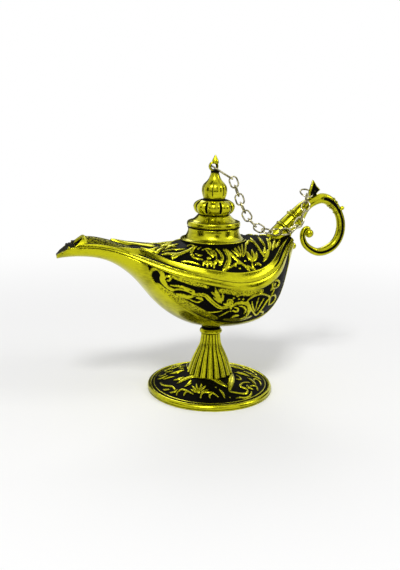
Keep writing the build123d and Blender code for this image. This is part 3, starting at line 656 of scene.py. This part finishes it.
def chain_recipe():
    """Pale wire, dull in places."""
    r = Recipe("chain_brass")
    clouds = r.noise(700.0)
    dull = r.ramp(clouds, 0.4, 0.62)
    r.set("Base Color", r.mix(dull, bpy.context.scene.lamp_brass.chain, (0.16, 0.145, 0.06)))
    r.set("Roughness", r.ramp(clouds, 0.3, 0.8, 0.16, 0.34))
    r.shader.inputs["Metallic"].default_value = 1.0
    r.bump(r.noise(3000.0), 0.1, 0.00004)
    return r.material


def set_material(obj, material):
    if obj.material_slots:
        for s in obj.material_slots:
            s.link = "OBJECT"
            s.material = material
    else:
        obj.data.materials.append(material)


def dress(piece, body, material, replaces=()):
    """Finishes a new piece: its material, its body and the nodes that it stands for."""
    piece.data.materials.append(material)
    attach(piece, body)
    if replaces:
        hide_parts(*replaces)


# Bowl and cover


def shell(piece, thickness):
    """Gives a piece its wall, with the inner face in its second material."""
    thick = piece.modifiers.new("shell", "SOLIDIFY")
    thick.thickness = thickness
    thick.offset = -1
    thick.material_offset = 1


def lip_start(at):
    """Turns at which the bowl starts at station places: the seam, or the lip's line before the mouth."""
    seam, up, depth, _, _ = hull_frames(at)
    lip_x, lip_z = np.array([(along(a), rise(b)) for a, b in LIP_SHARES]).T
    turns = np.linspace(0, math.pi / 2, 200)
    start = np.zeros(len(at))
    for i in range(len(at)):
        x, z = seam[i][:, None] - (up[i] * depth[i])[:, None] * np.sin(turns)
        above = z > np.where(x < lip_x[-1], np.interp(x, lip_x, lip_z), np.inf)
        start[i] = math.pi / 2 if above.all() else turns[np.argmax(~above)]
    smooth = np.convolve(np.pad(start, 6, mode="edge"), np.ones(13) / 13, mode="valid")
    return np.where((start > 0) & (start < math.pi / 2), smooth, start)


class LAMP_OT_bowl(bpy.types.Operator):
    """Casts the bowl with its relief, rim band and lip"""
    bl_idname = "lamp.bowl"
    bl_label = "Bowl"

    def execute(self, context):
        relief = context.scene.lamp_relief
        columns, rows = (int(size / relief.step) for size in BOWL_SKIN)
        at = np.linspace(FIRST_PLACE, LAST_PLACE, columns)
        start = lip_start(at)
        inside = start < math.pi / 2 - 0.02
        at, start = at[inside], start[inside]
        turn = start[:, None] + (math.pi - 2 * start[:, None]) * np.linspace(0, 1, rows)[None, :]
        at = np.repeat(at[:, None], rows, 1)
        points = bowl_point(at, turn)
        normals = grid_normals(points)
        normals *= -np.sign(normals[..., 2].mean())
        down = 1 - np.abs(turn / (math.pi / 2) - 1)
        _, _, depth, _, half = hull_frames(at)
        girth = math.pi / 2 * np.sqrt((half ** 2 + depth ** 2) / 2)
        rim = line_at(BOWL_RIM_LINE, at)
        from_rim = (down - rim) * girth
        to_low = (line_at(BOWL_LOW_LINE, at) - down) * girth
        panel = smooth_step(0.15, 0.5, from_rim) * smooth_step(0.1, 0.45, to_low)
        height = both_sides(points[:, ::-1], BOWL_STROKES, bowl_place)
        dots = np.clip(both_sides(points[:, ::-1], BOWL_STIPPLE, bowl_place) * 1.6, 0, 1)
        rim_line = drawn_line(from_rim - 0.12, 0.2) * smooth_step(1.9, 2.6, at)
        low_line = drawn_line(to_low + 0.2, 0.2) * (to_low > -1.2) * (at > 5.2) * (from_rim > 0)
        band = np.clip(1 - (2 * down / rim - 1) ** 2, 0, 1)
        # In ground depths: the ornament and dots on the sunk panel, the lines cut in and the raised band
        lift = panel * (1.55 * height + 0.25 * dots - 1) - 0.7 * rim_line - 0.6 * low_line + 0.4 * band
        points = points + normals * (relief.ground_depth * lift)[..., None]
        raised = 1 - panel * (1 - smooth_step(0.1, 0.75, height))
        raised = np.minimum(raised, 1 - np.maximum(rim_line, 0.9 * low_line))
        piece = grid_object("bowl_casting", points[:, ::-1], raised[:, ::-1], dots[:, ::-1])
        shell(piece, relief.shell)
        dress(piece, "lamp", brass_recipe("bowl_brass", stippled=True), ["bowl"])
        piece.data.materials.append(black_recipe())
        return {"FINISHED"}


class LAMP_OT_cover(bpy.types.Operator):
    """Casts the cover with its border bands, relief and spout panel"""
    bl_idname = "lamp.cover"
    bl_label = "Cover"

    def execute(self, context):
        relief = context.scene.lamp_relief
        columns, rows = (int(size / relief.step) for size in COVER_SKIN)
        share = np.linspace(-1, 1, rows)
        first = np.array([self.mouth_place(s) for s in share])[None, :]
        at = first + (LAST_PLACE - first) * np.linspace(0, 1, columns)[:, None]
        share = np.repeat(share[None, :], columns, 0)
        points = cover_point(at, share)
        normals = grid_normals(points)
        normals *= np.sign(normals[..., 2].mean())
        up_share = 1 - np.abs(share)
        _, _, _, tall, half = hull_frames(at)
        girth = 1.08 * np.hypot(half, tall)
        edge = line_at(COVER_BAND_LINE, at)
        from_band = (up_share - edge) * girth
        inside_band, past_spout = smooth_step(0.1, 0.5, from_band), smooth_step(4.9, 5.4, at)
        panel = inside_band * past_spout
        recess = inside_band * smooth_step(2.5, 2.7, at) * (1 - past_spout)
        height = both_sides(points, COVER_STROKES, cover_place)
        across = np.clip((np.clip(up_share / edge, 0, 1) - 0.1) / 0.85, 0, 1)
        hollow = np.sin(math.pi * across) ** 0.8 * smooth_step(4.4, 5.6, at)
        lines = drawn_line(from_band - 0.1, 0.2) * (at > 2.5) + drawn_line(up_share * girth, 0.16)
        # In ground depths: the ornament on the sunk panel and in the deeper recess, the hollow and the lines
        lift = panel * (1.65 * height - 1) + recess * (2.2 * height - 2) - 1.1 * hollow - 0.5 * lines
        points = points + normals * (relief.ground_depth * lift)[..., None]
        raised = 1 - panel * (1 - smooth_step(0.1, 0.75, height))
        raised -= 0.55 * recess * (1 - smooth_step(0.1, 0.6, height))
        raised = np.minimum(raised, 1 - np.clip(lines, 0, 1))
        middle = (points[:-1, :-1] + points[1:, 1:]) / 2
        keep = np.hypot(middle[..., 0], middle[..., 1]) > NECK_HOLE
        piece = grid_object("cover_casting", points[:, ::-1], raised[:, ::-1], keep=keep[:, ::-1])
        shell(piece, relief.shell)
        brass = brass_recipe("cover_brass")
        dress(piece, "lamp", brass, ["cover"])
        piece.data.materials.append(bpy.data.materials["inner_black"])
        dress(self.neck(), "lamp", brass)
        return {"FINISHED"}

    def mouth_place(self, share):
        """Station place where a line along the cover meets the mouth's plane, which leans back."""
        tries = np.linspace(1.0, 5.0, 400)
        p = cover_point(tries, np.full_like(tries, share))
        seam_z = hull_frames(np.array(2.0))[0][1]
        behind = (p[:, 0] - MOUTH_X) * math.cos(MOUTH_SLOPE) > (p[:, 2] - seam_z) * math.sin(MOUTH_SLOPE)
        return tries[np.argmax(behind)]

    def neck(self):
        profile = [(8.0, 62.5, 0.2), (8.0, 69.9, 0.2), (8.2, 70.1, 0.1), (10.2, 70.1, 0.1),
                   (10.5, 69.95, 0.6), (10.55, 69.5, 1.0)]
        profile += [(13.4 - 2.85 * math.cos(turn), 69.5 - 4.0 * math.sin(turn), 1.0)
                    for turn in np.linspace(0, math.pi / 2, 13)[1:]]
        profile += [(13.6, 65.3, 0.6), (13.65, 65.0, 0.0), (13.6, 62.6, 0.0)]
        return turned("neck_collar", profile)


# Turned pieces


def turned(name, profile, lobes=None, segments=192, finer=1):
    """A piece turned about the lamp's axis from a profile of radius, height and mark. lobes takes heights
    and bearings and gives a factor for the radius and another for the mark."""
    rows = np.array(profile, float)
    if finer > 1:
        rows = spline_rows(rows, np.linspace(0, len(rows) - 1, (len(rows) - 1) * finer + 1))
    turn = circle(segments)
    radius, height, mark = (np.repeat(rows[:, k:k + 1], segments, 1) for k in range(3))
    if lobes is not None:
        swell, clean = lobes(height, np.repeat(turn[None, :], len(rows), 0))
        radius, mark = radius * swell, mark * clean
    points = np.stack([radius * np.cos(turn), radius * np.sin(turn), height], -1)
    return grid_object(name, points, np.clip(mark, 0, 1), wrap_columns=True)


def lobe_shape(turn, count):
    """From 0 in the valleys between lobes to 1 on their middles."""
    share = (turn * count / (2 * math.pi)) % 1
    return 1 - (2 * share - 1) ** 2


def calyx_lobes(height, turn):
    flutes = lobe_shape(turn, 16)
    return 1 + 0.05 * flutes, smooth_step(0.05, 0.5, flutes)


def stem_lobes(height, turn):
    flutes = lobe_shape(turn, 18)
    return 0.86 + 0.14 * flutes ** 0.8, smooth_step(0.12, 0.72, flutes)


def lid_lobes(height, turn):
    """Eight lobes round the collar and six soft ones round the bulb."""
    collar = smooth_step(75.5, 76.8, height) * (1 - smooth_step(80.4, 81.3, height))
    bulb = smooth_step(81.8, 83.4, height) * (1 - smooth_step(87.0, 89.4, height))
    eight, six = lobe_shape(turn, 8), lobe_shape(turn, 6)
    swell = 1 - 0.17 * collar * (1 - eight ** 0.6) - 0.06 * bulb * (1 - six)
    clean = 1 - collar * (1 - smooth_step(0.1, 0.55, eight)) - 0.8 * bulb * (1 - smooth_step(0.02, 0.3, six))
    return swell, clean


def foot_height(radius):
    """Height of the foot's top, which is flat round the stem and domed down to the rim."""
    share = np.clip((radius - 10) / 14.6, 0, 1)
    return 7.2 - 4.9 * share + 2 * share * (1 - share)


class LAMP_OT_foot(bpy.types.Operator):
    """Casts the foot with its ornament, the fluted stem and the bead, and finishes the screw below"""
    bl_idname = "lamp.foot"
    bl_label = "Foot and stem"

    def execute(self, context):
        brass = brass_recipe("foot_brass")
        dress(self.disc(context.scene.lamp_relief), "lamp", brass, ["foot"])
        shares = ((0.0, 1.0), (0.12, 0.86), (0.34, 0.62), (0.56, 0.32), (0.74, 0.1), (1.0, 0.0))
        stem = [(4.05 + 5.75 * flare, 7.32 + 17.3 * z, 1.0) for z, flare in shares]
        stem = turned("stem_casting", stem, stem_lobes, segments=540, finer=10)
        dress(stem, "lamp", brass, ["fluted_stem"])
        bead = turned("bead_casting", [
            (2.4, 24.74, 0.0), (4.0, 24.74, 0.0), (4.55, 24.95, 0.6), (4.8, 25.4, 1.0), (4.8, 25.8, 1.0),
            (4.55, 26.3, 1.0), (4.1, 26.7, 0.5), (3.9, 26.95, 0.0), (3.9, 27.6, 0.0), (2.4, 27.74, 0.0)])
        dress(bead, "lamp", brass, ["stem_bead"])
        calyx = turned("calyx_flutes", [
            (3.7, 27.86, 0.2), (3.95, 28.1, 0.8), (4.7, 28.75, 1.0), (6.0, 29.3, 1.0), (7.6, 29.75, 1.0),
            (9.0, 30.35, 1.0), (9.6, 31.0, 0.6)], calyx_lobes, finer=4)
        dress(calyx, "lamp", brass)
        dull = brass_recipe("screw_brass", engraved=False, tarnish=0.8, roughness=0.4)
        for node in ("tie_screw", "tie_washer"):
            set_material(frame["nodes"][node], dull)
        return {"FINISHED"}

    def disc(self, relief):
        """The foot's disc, turned plain and then raised by its ornament."""
        top = [(r, foot_height(r), 1.0) for r in np.arange(3.0, 24.4, relief.step)]
        rim = [(24.45, 2.32, 0.2), (24.7, 1.85, 0.0), (25.0, 1.85, 0.0), (25.15, 2.3, 0.6),
               (25.5, 2.42, 1.0), (25.9, 2.38, 1.0), (26.35, 2.15, 1.0), (26.65, 1.8, 1.0),
               (26.8, 1.4, 1.0), (26.75, 0.9, 0.9), (26.6, 0.62, 0.1), (26.7, 0.4, 0.9), (26.7, 0.0, 0.8)]
        below = [(24.1, 0.0, 0.6), (23.6, 0.35, 0.1), (20.0, 1.75, 0.05), (15.0, 3.2, 0.05),
                 (10.0, 4.5, 0.05), (6.4, 5.2, 0.05), (6.4, 4.4, 0.3), (2.4, 4.4, 0.3), (2.4, 7.2, 0.3)]
        piece = turned("foot_casting", top + rim + below, segments=int(160 / relief.step))
        mesh = piece.data
        mark = mesh.attributes["raised"].data
        points = np.empty(len(mesh.vertices) * 3, np.float32)
        mesh.vertices.foreach_get("co", points)
        points = points.reshape(-1, 3).astype(float) / MM
        raised = np.empty(len(points), np.float32)
        mark.foreach_get("value", raised)
        radius = np.hypot(points[:, 0], points[:, 1])
        on_top = np.abs(points[:, 2] - foot_height(radius)) < 0.02
        panel = on_top * smooth_step(8.6, 9.4, radius) * (1 - smooth_step(23.6, 24.2, radius))
        height = np.maximum(*(relief_height(points, FOOT_STROKES, place)
                              for place in (self.on_top, self.on_far_side)))
        points[:, 2] += relief.ground_depth * panel * (1.5 * height - 0.8)
        raised *= 1 - panel * (1 - smooth_step(0.1, 0.75, height))
        mesh.vertices.foreach_set("co", (points * MM).astype(np.float32).reshape(-1))
        mark.foreach_set("value", raised.astype(np.float32))
        mesh.update()
        return piece

    def on_top(self, degrees, radius, half_turns=0):
        turn = np.radians(degrees) + half_turns * math.pi
        return np.stack([radius * np.cos(turn), radius * np.sin(turn), foot_height(radius)], -1)

    def on_far_side(self, degrees, radius):
        return self.on_top(degrees, radius, 1)


class LAMP_OT_lid(bpy.types.Operator):
    """Turns the lid with its flange, lobed collar, bulb, eye and spike"""
    bl_idname = "lamp.lid"
    bl_label = "Lid"

    def execute(self, context):
        brass = brass_recipe("lid_brass")
        body = turned("lid_casting", [
            (6.6, 66.1, 0.3), (7.8, 66.1, 0.3), (7.8, 70.2, 0.1), (10.5, 70.25, 0.0), (10.7, 70.4, 0.1),
            (10.95, 70.9, 1.0), (11.0, 71.4, 1.0), (10.95, 71.9, 1.0), (10.75, 72.4, 1.0),
            (10.35, 72.62, 0.8), (10.0, 72.66, 0.1), (9.7, 72.75, 0.5), (8.9, 73.1, 1.0), (7.9, 73.8, 1.0),
            (7.1, 74.6, 1.0),
            (6.6, 75.1, 0.8), (6.3, 75.4, 0.0), (6.6, 75.6, 0.2), (7.3, 76.0, 1.0), (8.0, 76.8, 1.0),
            (8.4, 77.8, 1.0), (8.5, 78.6, 1.0), (8.3, 79.4, 1.0), (7.7, 80.2, 1.0), (6.6, 80.9, 0.9),
            (5.4, 81.3, 0.2), (4.6, 81.4, 0.0), (4.45, 81.7, 0.2), (4.7, 82.4, 1.0), (5.05, 83.6, 1.0),
            (5.2, 84.8, 1.0), (5.15, 85.8, 1.0), (4.9, 86.8, 1.0), (4.3, 87.7, 1.0), (3.6, 88.4, 0.9),
            (2.8, 89.3, 0.8), (2.3, 90.2, 0.8), (1.9, 91.2, 0.8), (1.7, 92.2, 0.4), (1.6, 93.0, 0.2),
            (0.2, 93.4, 0.0)], lid_lobes, segments=256, finer=3)
        dress(body, "lid", brass, ["lid"])
        hollow = turned("lid_hollow", [
            (6.6, 66.1, 0.1), (6.6, 72.4, 0.1), (5.4, 73.6, 0.1), (0.1, 73.65, 0.1)])
        spike = turned("lid_spike", [
            (0.3, 95.6, 0.3), (1.25, 95.7, 0.4), (1.45, 96.1, 1.0), (1.3, 96.9, 1.0), (0.95, 97.7, 1.0),
            (0.5, 98.6, 1.0), (0.25, 99.1, 1.0), (0.02, 99.2, 1.0)], finer=3)
        for piece in (hollow, spike, self.eye()):
            dress(piece, "lid", brass)
        return {"FINISHED"}

    def eye(self):
        around, across = circle(40)[:, None], circle(16)[None, :]
        reach = 1.57 + 0.5 * np.cos(across)
        points = np.stack(np.broadcast_arrays(
            -0.7 + reach * np.cos(around), 0.85 * np.sin(across), 94.65 + reach * np.sin(around)), -1)
        raised = np.clip(0.35 + 0.65 * np.cos(across), 0, 1)
        return grid_object("lid_eye", points[:, ::-1], raised, wrap_rows=True, wrap_columns=True)


# Handle

# The bar's line and radius, as shares of the loop's half sizes from its middle and of the root's radius
HANDLE_SHARES = (
    (-2.37, -0.56, 0.97), (-2.09, -0.30, 1.00), (-1.77, -0.07, 1.03), (-1.49, 0.15, 1.00),
    (-1.19, 0.39, 0.92), (-0.92, 0.66, 0.73), (-0.52, 0.88, 0.57), (-0.02, 1.00, 0.58), (0.40, 0.87, 0.57),
    (0.75, 0.57, 0.49), (0.98, 0.15, 0.50), (0.99, -0.32, 0.53), (0.77, -0.71, 0.54), (0.38, -0.94, 0.54),
    (-0.06, -1.01, 0.46), (-0.44, -0.89, 0.41), (-0.74, -0.68, 0.37), (-0.87, -0.39, 0.33),
    (-0.82, -0.18, 0.30), (-0.68, -0.10, 0.29), (-0.55, -0.17, 0.26),
)
LOOP_MIDDLE = (50.0, 69.2)
LOOP_HALF = (9.9, 11.7)
ROOT_RADIUS = 3.8
# Bands round the bar: place along it by the handle's points, half width and height in millimetres
HANDLE_BANDS = ((1.9, 0.5, 0.5), (3.55, 0.45, 0.75), (3.95, 0.3, 0.5), (8.1, 0.3, 0.35), (8.45, 0.3, 0.35),
                (9.1, 0.3, 0.3))
LEAF_FOOT = (45.6, 80.6)
LEAF_HEIGHT = 8.2
LEAF_SHARES = ((-0.22, -0.05), (-0.27, 0.2), (-0.30, 0.36), (-0.22, 0.62), (-0.10, 1.0), (0.03, 0.84),
               (0.10, 0.72), (0.24, 0.6), (0.34, 0.50), (0.2, 0.38), (0.12, 0.28), (0.17, 0.12),
               (0.22, -0.05))
# The leaf's rim and face from its edge inwards: share of the outline, half thickness and mark
LEAF_LAYERS = ((1.0, 0.0, 1.0), (0.99, 0.55, 1.0), (0.9, 0.85, 1.0), (0.78, 0.8, 0.4), (0.66, 0.5, 0.0),
               (0.3, 0.5, 0.0), (0.02, 0.75, 0.5))


def loop_place(x_share, z_share):
    return (LOOP_MIDDLE[0] + LOOP_HALF[0] * x_share, 0.0, LOOP_MIDDLE[1] + LOOP_HALF[1] * z_share)


class LAMP_OT_handle(bpy.types.Operator):
    """Casts the handle's bar with its bands and long groove, the scroll's ball, the buds and the leaf"""
    bl_idname = "lamp.handle"
    bl_label = "Handle"

    def execute(self, context):
        brass = brass_recipe("handle_brass")
        dress(self.bar(), "lamp", brass, ["handle"])
        for piece in (
            self.ball("scroll_ball", loop_place(-0.55, -0.29), 1.9),
            self.ball("upper_bud", loop_place(1.02, 0.62), 0.95),
            self.ball("lower_ball", (36.9, 0.0, 60.6), 1.5),
            self.leaf(),
        ):
            dress(piece, "lamp", brass)
        return {"FINISHED"}

    def bar(self):
        rows = np.array([(*loop_place(x, z), ROOT_RADIUS * r) for x, z, r in HANDLE_SHARES])
        at = np.linspace(0, len(rows) - 1, 560)
        path = spline_rows(rows, at)
        ahead = np.gradient(path[:, :3], axis=0)
        ahead /= np.linalg.norm(ahead, axis=1, keepdims=True)
        outward = np.stack([-ahead[:, 2], np.zeros(len(at)), ahead[:, 0]], 1)
        turn = circle(48)
        radius = np.repeat(path[:, 3:4], 48, 1)
        length = path_lengths(path[:, :3])
        mark = np.ones_like(radius)
        for where, half, high in HANDLE_BANDS:
            apart = np.abs(length - np.interp(where, at, length))[:, None] / half
            radius = radius + high * np.sqrt(np.clip(1 - apart ** 2, 0, 1))
            mark = mark * (1 - drawn_line(apart - 1.5, 0.45))
        # A long dark groove on both flanks of the loop, from the arch to the end of the scroll
        along_loop = smooth_step(6.6, 7.2, at) * (1 - smooth_step(18.5, 19.5, at))
        groove = along_loop[:, None] * drawn_line(np.abs(np.sin(turn)) - 1, 0.07)[None, :]
        radius = radius * (1 - 0.14 * groove)
        mark = mark * (1 - 0.9 * groove)
        ends = np.clip(np.minimum(length, length[-1] - length) / 0.6, 0, 1)[:, None]
        radius = radius * np.sqrt(ends * (2 - ends))
        points = (path[:, None, :3] + outward[:, None, :] * (radius * np.cos(turn))[..., None]
                  + np.array([0, 1.0, 0]) * (radius * np.sin(turn))[..., None])
        return grid_object("handle_bar", points, mark, wrap_columns=True)

    def ball(self, name, middle, radius):
        tilt, turn = np.linspace(-math.pi / 2, math.pi / 2, 17)[:, None], circle(28)[None, :]
        points = radius * np.stack(np.broadcast_arrays(
            np.cos(tilt) * np.cos(turn), np.cos(tilt) * np.sin(turn), np.sin(tilt)), -1)
        return grid_object(name, points + np.array(middle), 1.0, wrap_columns=True)

    def leaf(self):
        """A thin leaf with a raised rim and a dark face, on the arch of the handle."""
        outline = np.array(LEAF_SHARES) * LEAF_HEIGHT + np.array(LEAF_FOOT)
        middle = outline.mean(0)
        layers = [(-1, layer) for layer in LEAF_LAYERS[::-1]] + [(1, layer) for layer in LEAF_LAYERS[1:]]
        rows, marks = [], []
        for side, (share, thick, bright) in layers:
            flat = middle + (outline - middle) * share
            rows.append(np.stack([flat[:, 0], np.full(len(flat), side * thick), flat[:, 1]], 1))
            marks.append(np.full(len(flat), bright))
        return grid_object("thumb_leaf", np.array(rows), np.array(marks), wrap_columns=True)


# Chain

CAD_WIRE = 0.37 * MM  # radius of the solids' wire, which the rings' middle lines follow


def oval_ring(name, node, wire):
    """A ring of round wire in the place of a node: same middle, plane, length and width."""
    points = np.array([v.co for v in frame["nodes"][node].data.vertices], float)
    middle = (points.min(0) + points.max(0)) / 2
    for _ in range(3):
        _, axes = np.linalg.eigh(np.cov((points - middle).T))
        local = (points - middle) @ axes
        middle = middle + axes @ ((local.min(0) + local.max(0)) / 2)
    half = ((points - middle) @ axes).max(0) - CAD_WIRE
    normal, across, along_axis = axes.T
    run = max(half[2] - half[1], 0.0)
    path = [(run + half[1] * math.cos(a), half[1] * math.sin(a))
            for a in np.linspace(-math.pi / 2, math.pi / 2, 15)]
    path = np.array(path + [(-x, -y) for x, y in path])
    ahead = np.roll(path, -1, 0) - np.roll(path, 1, 0)
    ahead /= np.linalg.norm(ahead, axis=1, keepdims=True)
    turn = circle(12)
    local_x = path[:, 0:1] + ahead[:, 1:2] * wire * np.cos(turn)
    local_y = path[:, 1:2] - ahead[:, 0:1] * wire * np.cos(turn)
    shape = (middle + local_x[..., None] * along_axis + local_y[..., None] * across
             + (wire * np.sin(turn))[None, :, None] * normal)
    return grid_object(name, shape / MM, wrap_rows=True, wrap_columns=True)


class LAMP_OT_chain(bpy.types.Operator):
    """Forges the chain's round wire links and its two rings"""
    bl_idname = "lamp.chain"
    bl_label = "Chain"

    def execute(self, context):
        brass = chain_recipe()
        for body, nodes in frame["record"]["behaviour"]["bodies"].items():
            for node in nodes:
                if "ring" in node or "link" in node:
                    ring = oval_ring(f"{node}_wire", node, context.scene.lamp_chain.wire_radius)
                    dress(ring, body, brass, [node])
        return {"FINISHED"}


# Stage

# Area lamps: place and size in metres, and watts
LAMPS = {
    "key": ((-0.22, -0.40, 0.60), 0.16, 2.6),
    "fill": ((0.55, -0.30, 0.45), 0.20, 0.9),
    "rim": ((0.10, 0.50, 0.45), 0.30, 0.9),
}
# Black cards that only the metal reflects: middle, bearing in degrees, width and height in metres
CARDS = {
    "card_front_low": ((-0.20, -0.50, 0.045), -22, 0.75, 0.13),
    "card_left": ((-0.60, -0.12, 0.20), -80, 0.34, 0.36),
    "card_right": ((0.40, -0.40, 0.18), 42, 0.24, 0.40),
    "card_front_high": ((-0.04, -0.62, 0.44), -4, 0.20, 0.50),
    "card_back": ((0.10, 0.55, 0.18), 0, 0.60, 0.36),
    "card_side": ((0.62, 0.10, 0.20), 85, 0.40, 0.34),
}
CARD_OVER = [(-0.20, -0.06, 0.50), (0.10, -0.06, 0.50), (0.10, 0.16, 0.50), (-0.20, 0.16, 0.50)]


def card_corners(middle, degrees, width, height):
    turn = math.radians(degrees)
    across = Vector((math.cos(turn), math.sin(turn), 0)) * width / 2
    up = Vector((0, 0, height / 2))
    return [tuple(Vector(middle) + across * a + up * b) for a, b in ((-1, -1), (1, -1), (1, 1), (-1, 1))]


class LAMP_OT_stage(bpy.types.Operator):
    """Sets the camera, the floor, the sky, the lamps and the cards"""
    bl_idname = "lamp.stage"
    bl_label = "Stage"

    def execute(self, context):
        scene = context.scene
        self.camera(scene)
        self.floor(scene.lamp_stage.floor_colour)
        self.sky(scene)
        self.lamps()
        self.cards()
        scene.view_settings.view_transform = "Standard"
        return {"FINISHED"}

    def camera(self, scene):
        pitch, yaw, roll = math.radians(13.75), math.radians(20.0), math.radians(1.3)
        back = Vector((-math.sin(yaw) * math.cos(pitch), -math.cos(yaw) * math.cos(pitch), math.sin(pitch)))
        right = Vector((math.cos(yaw), -math.sin(yaw), 0.0))
        middle, aside, distance = Vector((0, 0, 45.3 * MM)), 5.04, 285.6
        camera = new_object("camera", bpy.data.cameras.new("camera"))
        camera.location = middle - right * aside * MM + back * distance * MM
        camera.rotation_mode = "QUATERNION"
        camera.rotation_quaternion = (-back).to_track_quat("-Z", "Y") @ Quaternion((0, 0, 1), roll)
        camera.data.lens = scene.lamp_stage.focal_length
        camera.data.sensor_width = 36.0
        camera.data.clip_start, camera.data.clip_end = 0.01, 50.0
        scene.camera = camera

    def floor(self, paper):
        """A round sheet of paper that keeps the shadow and fades to plain white away from the lamp."""
        mesh = bpy.data.meshes.new("floor")
        ring = [(4 * math.cos(a), 4 * math.sin(a), 0) for a in circle(64)]
        mesh.from_pydata(ring, [], [list(range(64))])
        floor = new_object("floor", mesh)
        r = Recipe("floor_paper")
        spread = r.node("ShaderNodeVectorMath", operation="LENGTH")
        r.feed(spread.inputs[0], r.place)
        far = r.ramp(spread.outputs["Value"], 0.10, 0.34)
        glow = r.node("ShaderNodeEmission")
        glow.inputs["Strength"].default_value = 1.0
        blend = r.node("ShaderNodeMixShader")
        r.feed(blend.inputs[0], r.math("MULTIPLY", far, r.seen()))
        r.set("Base Color", r.mix(r.noise(900.0), [c * 0.995 for c in paper], paper))
        r.shader.inputs["Roughness"].default_value = 0.9
        r.shader.inputs["Specular IOR Level"].default_value = 0.0
        r.feed(blend.inputs[1], r.shader.outputs[0])
        r.feed(blend.inputs[2], glow.outputs[0])
        r.feed(r.find("OUTPUT_MATERIAL").inputs[0], blend.outputs[0])
        mesh.materials.append(r.material)

    def sky(self, scene):
        world = scene.world = bpy.data.worlds.new("sky")
        world.use_nodes = True
        n = Nodes(world.node_tree)
        sky = n.find("BACKGROUND")
        n.feed(sky.inputs["Strength"], n.ramp(n.seen(), 0.0, 1.0, scene.lamp_stage.sky_strength, 1.0))
        sky.inputs["Color"].default_value = (1, 1, 1, 1)

    def lamps(self):
        for name, (place, size, watts) in LAMPS.items():
            lamp = bpy.data.lights.new(name, "AREA")
            lamp.energy = watts
            lamp.size = size
            holder = new_object(name, lamp)
            holder.location = place
            holder.rotation_mode = "QUATERNION"
            aim = Vector((0, 0, 0.04)) - Vector(place)
            holder.rotation_quaternion = aim.to_track_quat("-Z", "Y")

    def cards(self):
        r = Recipe("card_black")
        r.set("Base Color", r.mix(r.noise(4.0), (0.0, 0.0, 0.0), (0.01, 0.01, 0.01)))
        r.shader.inputs["Roughness"].default_value = 1.0
        r.shader.inputs["Specular IOR Level"].default_value = 0.0
        corners = {name: card_corners(*card) for name, card in CARDS.items()} | {"card_over": CARD_OVER}
        for name, places in corners.items():
            mesh = bpy.data.meshes.new(name)
            mesh.from_pydata(places, [], [(0, 1, 2, 3)])
            mesh.materials.append(r.material)
            card = new_object(name, mesh)
            card.visible_camera = card.visible_diffuse = False
            card.visible_shadow = card.visible_transmission = False


# Registration

OPERATORS = (LAMP_OT_foot, LAMP_OT_bowl, LAMP_OT_cover, LAMP_OT_lid, LAMP_OT_handle, LAMP_OT_chain,
             LAMP_OT_stage)
SETTINGS = {
    "lamp_brass": BrassSettings,
    "lamp_relief": ReliefSettings,
    "lamp_chain": ChainSettings,
    "lamp_stage": StageSettings,
}


class LAMP_PT_panel(bpy.types.Panel):
    """Lists the steps that dress the lamp"""
    bl_idname = "LAMP_PT_panel"
    bl_label = "Oil Lamp"
    bl_space_type = "VIEW_3D"
    bl_region_type = "UI"
    bl_category = "Oil Lamp"

    def draw(self, context):
        for operator in OPERATORS:
            self.layout.operator(operator.bl_idname)
        for name, group in SETTINGS.items():
            box = self.layout.box()
            for prop in group.__annotations__:
                box.prop(getattr(context.scene, name), prop)


def register():
    for group in SETTINGS.values():
        bpy.utils.register_class(group)
    for name, group in SETTINGS.items():
        setattr(bpy.types.Scene, name, bpy.props.PointerProperty(type=group))
    for operator in OPERATORS:
        bpy.utils.register_class(operator)
    bpy.utils.register_class(LAMP_PT_panel)


def unregister():
    bpy.utils.unregister_class(LAMP_PT_panel)
    for operator in reversed(OPERATORS):
        bpy.utils.unregister_class(operator)
    for name in SETTINGS:
        delattr(bpy.types.Scene, name)
    for group in reversed(list(SETTINGS.values())):
        bpy.utils.unregister_class(group)


def main():
    register()
    bpy.ops.lamp.stage()
    bpy.ops.lamp.foot()
    bpy.ops.lamp.bowl()
    bpy.ops.lamp.cover()
    bpy.ops.lamp.lid()
    bpy.ops.lamp.handle()
    bpy.ops.lamp.chain()


if __name__ == "__main__":
    main()
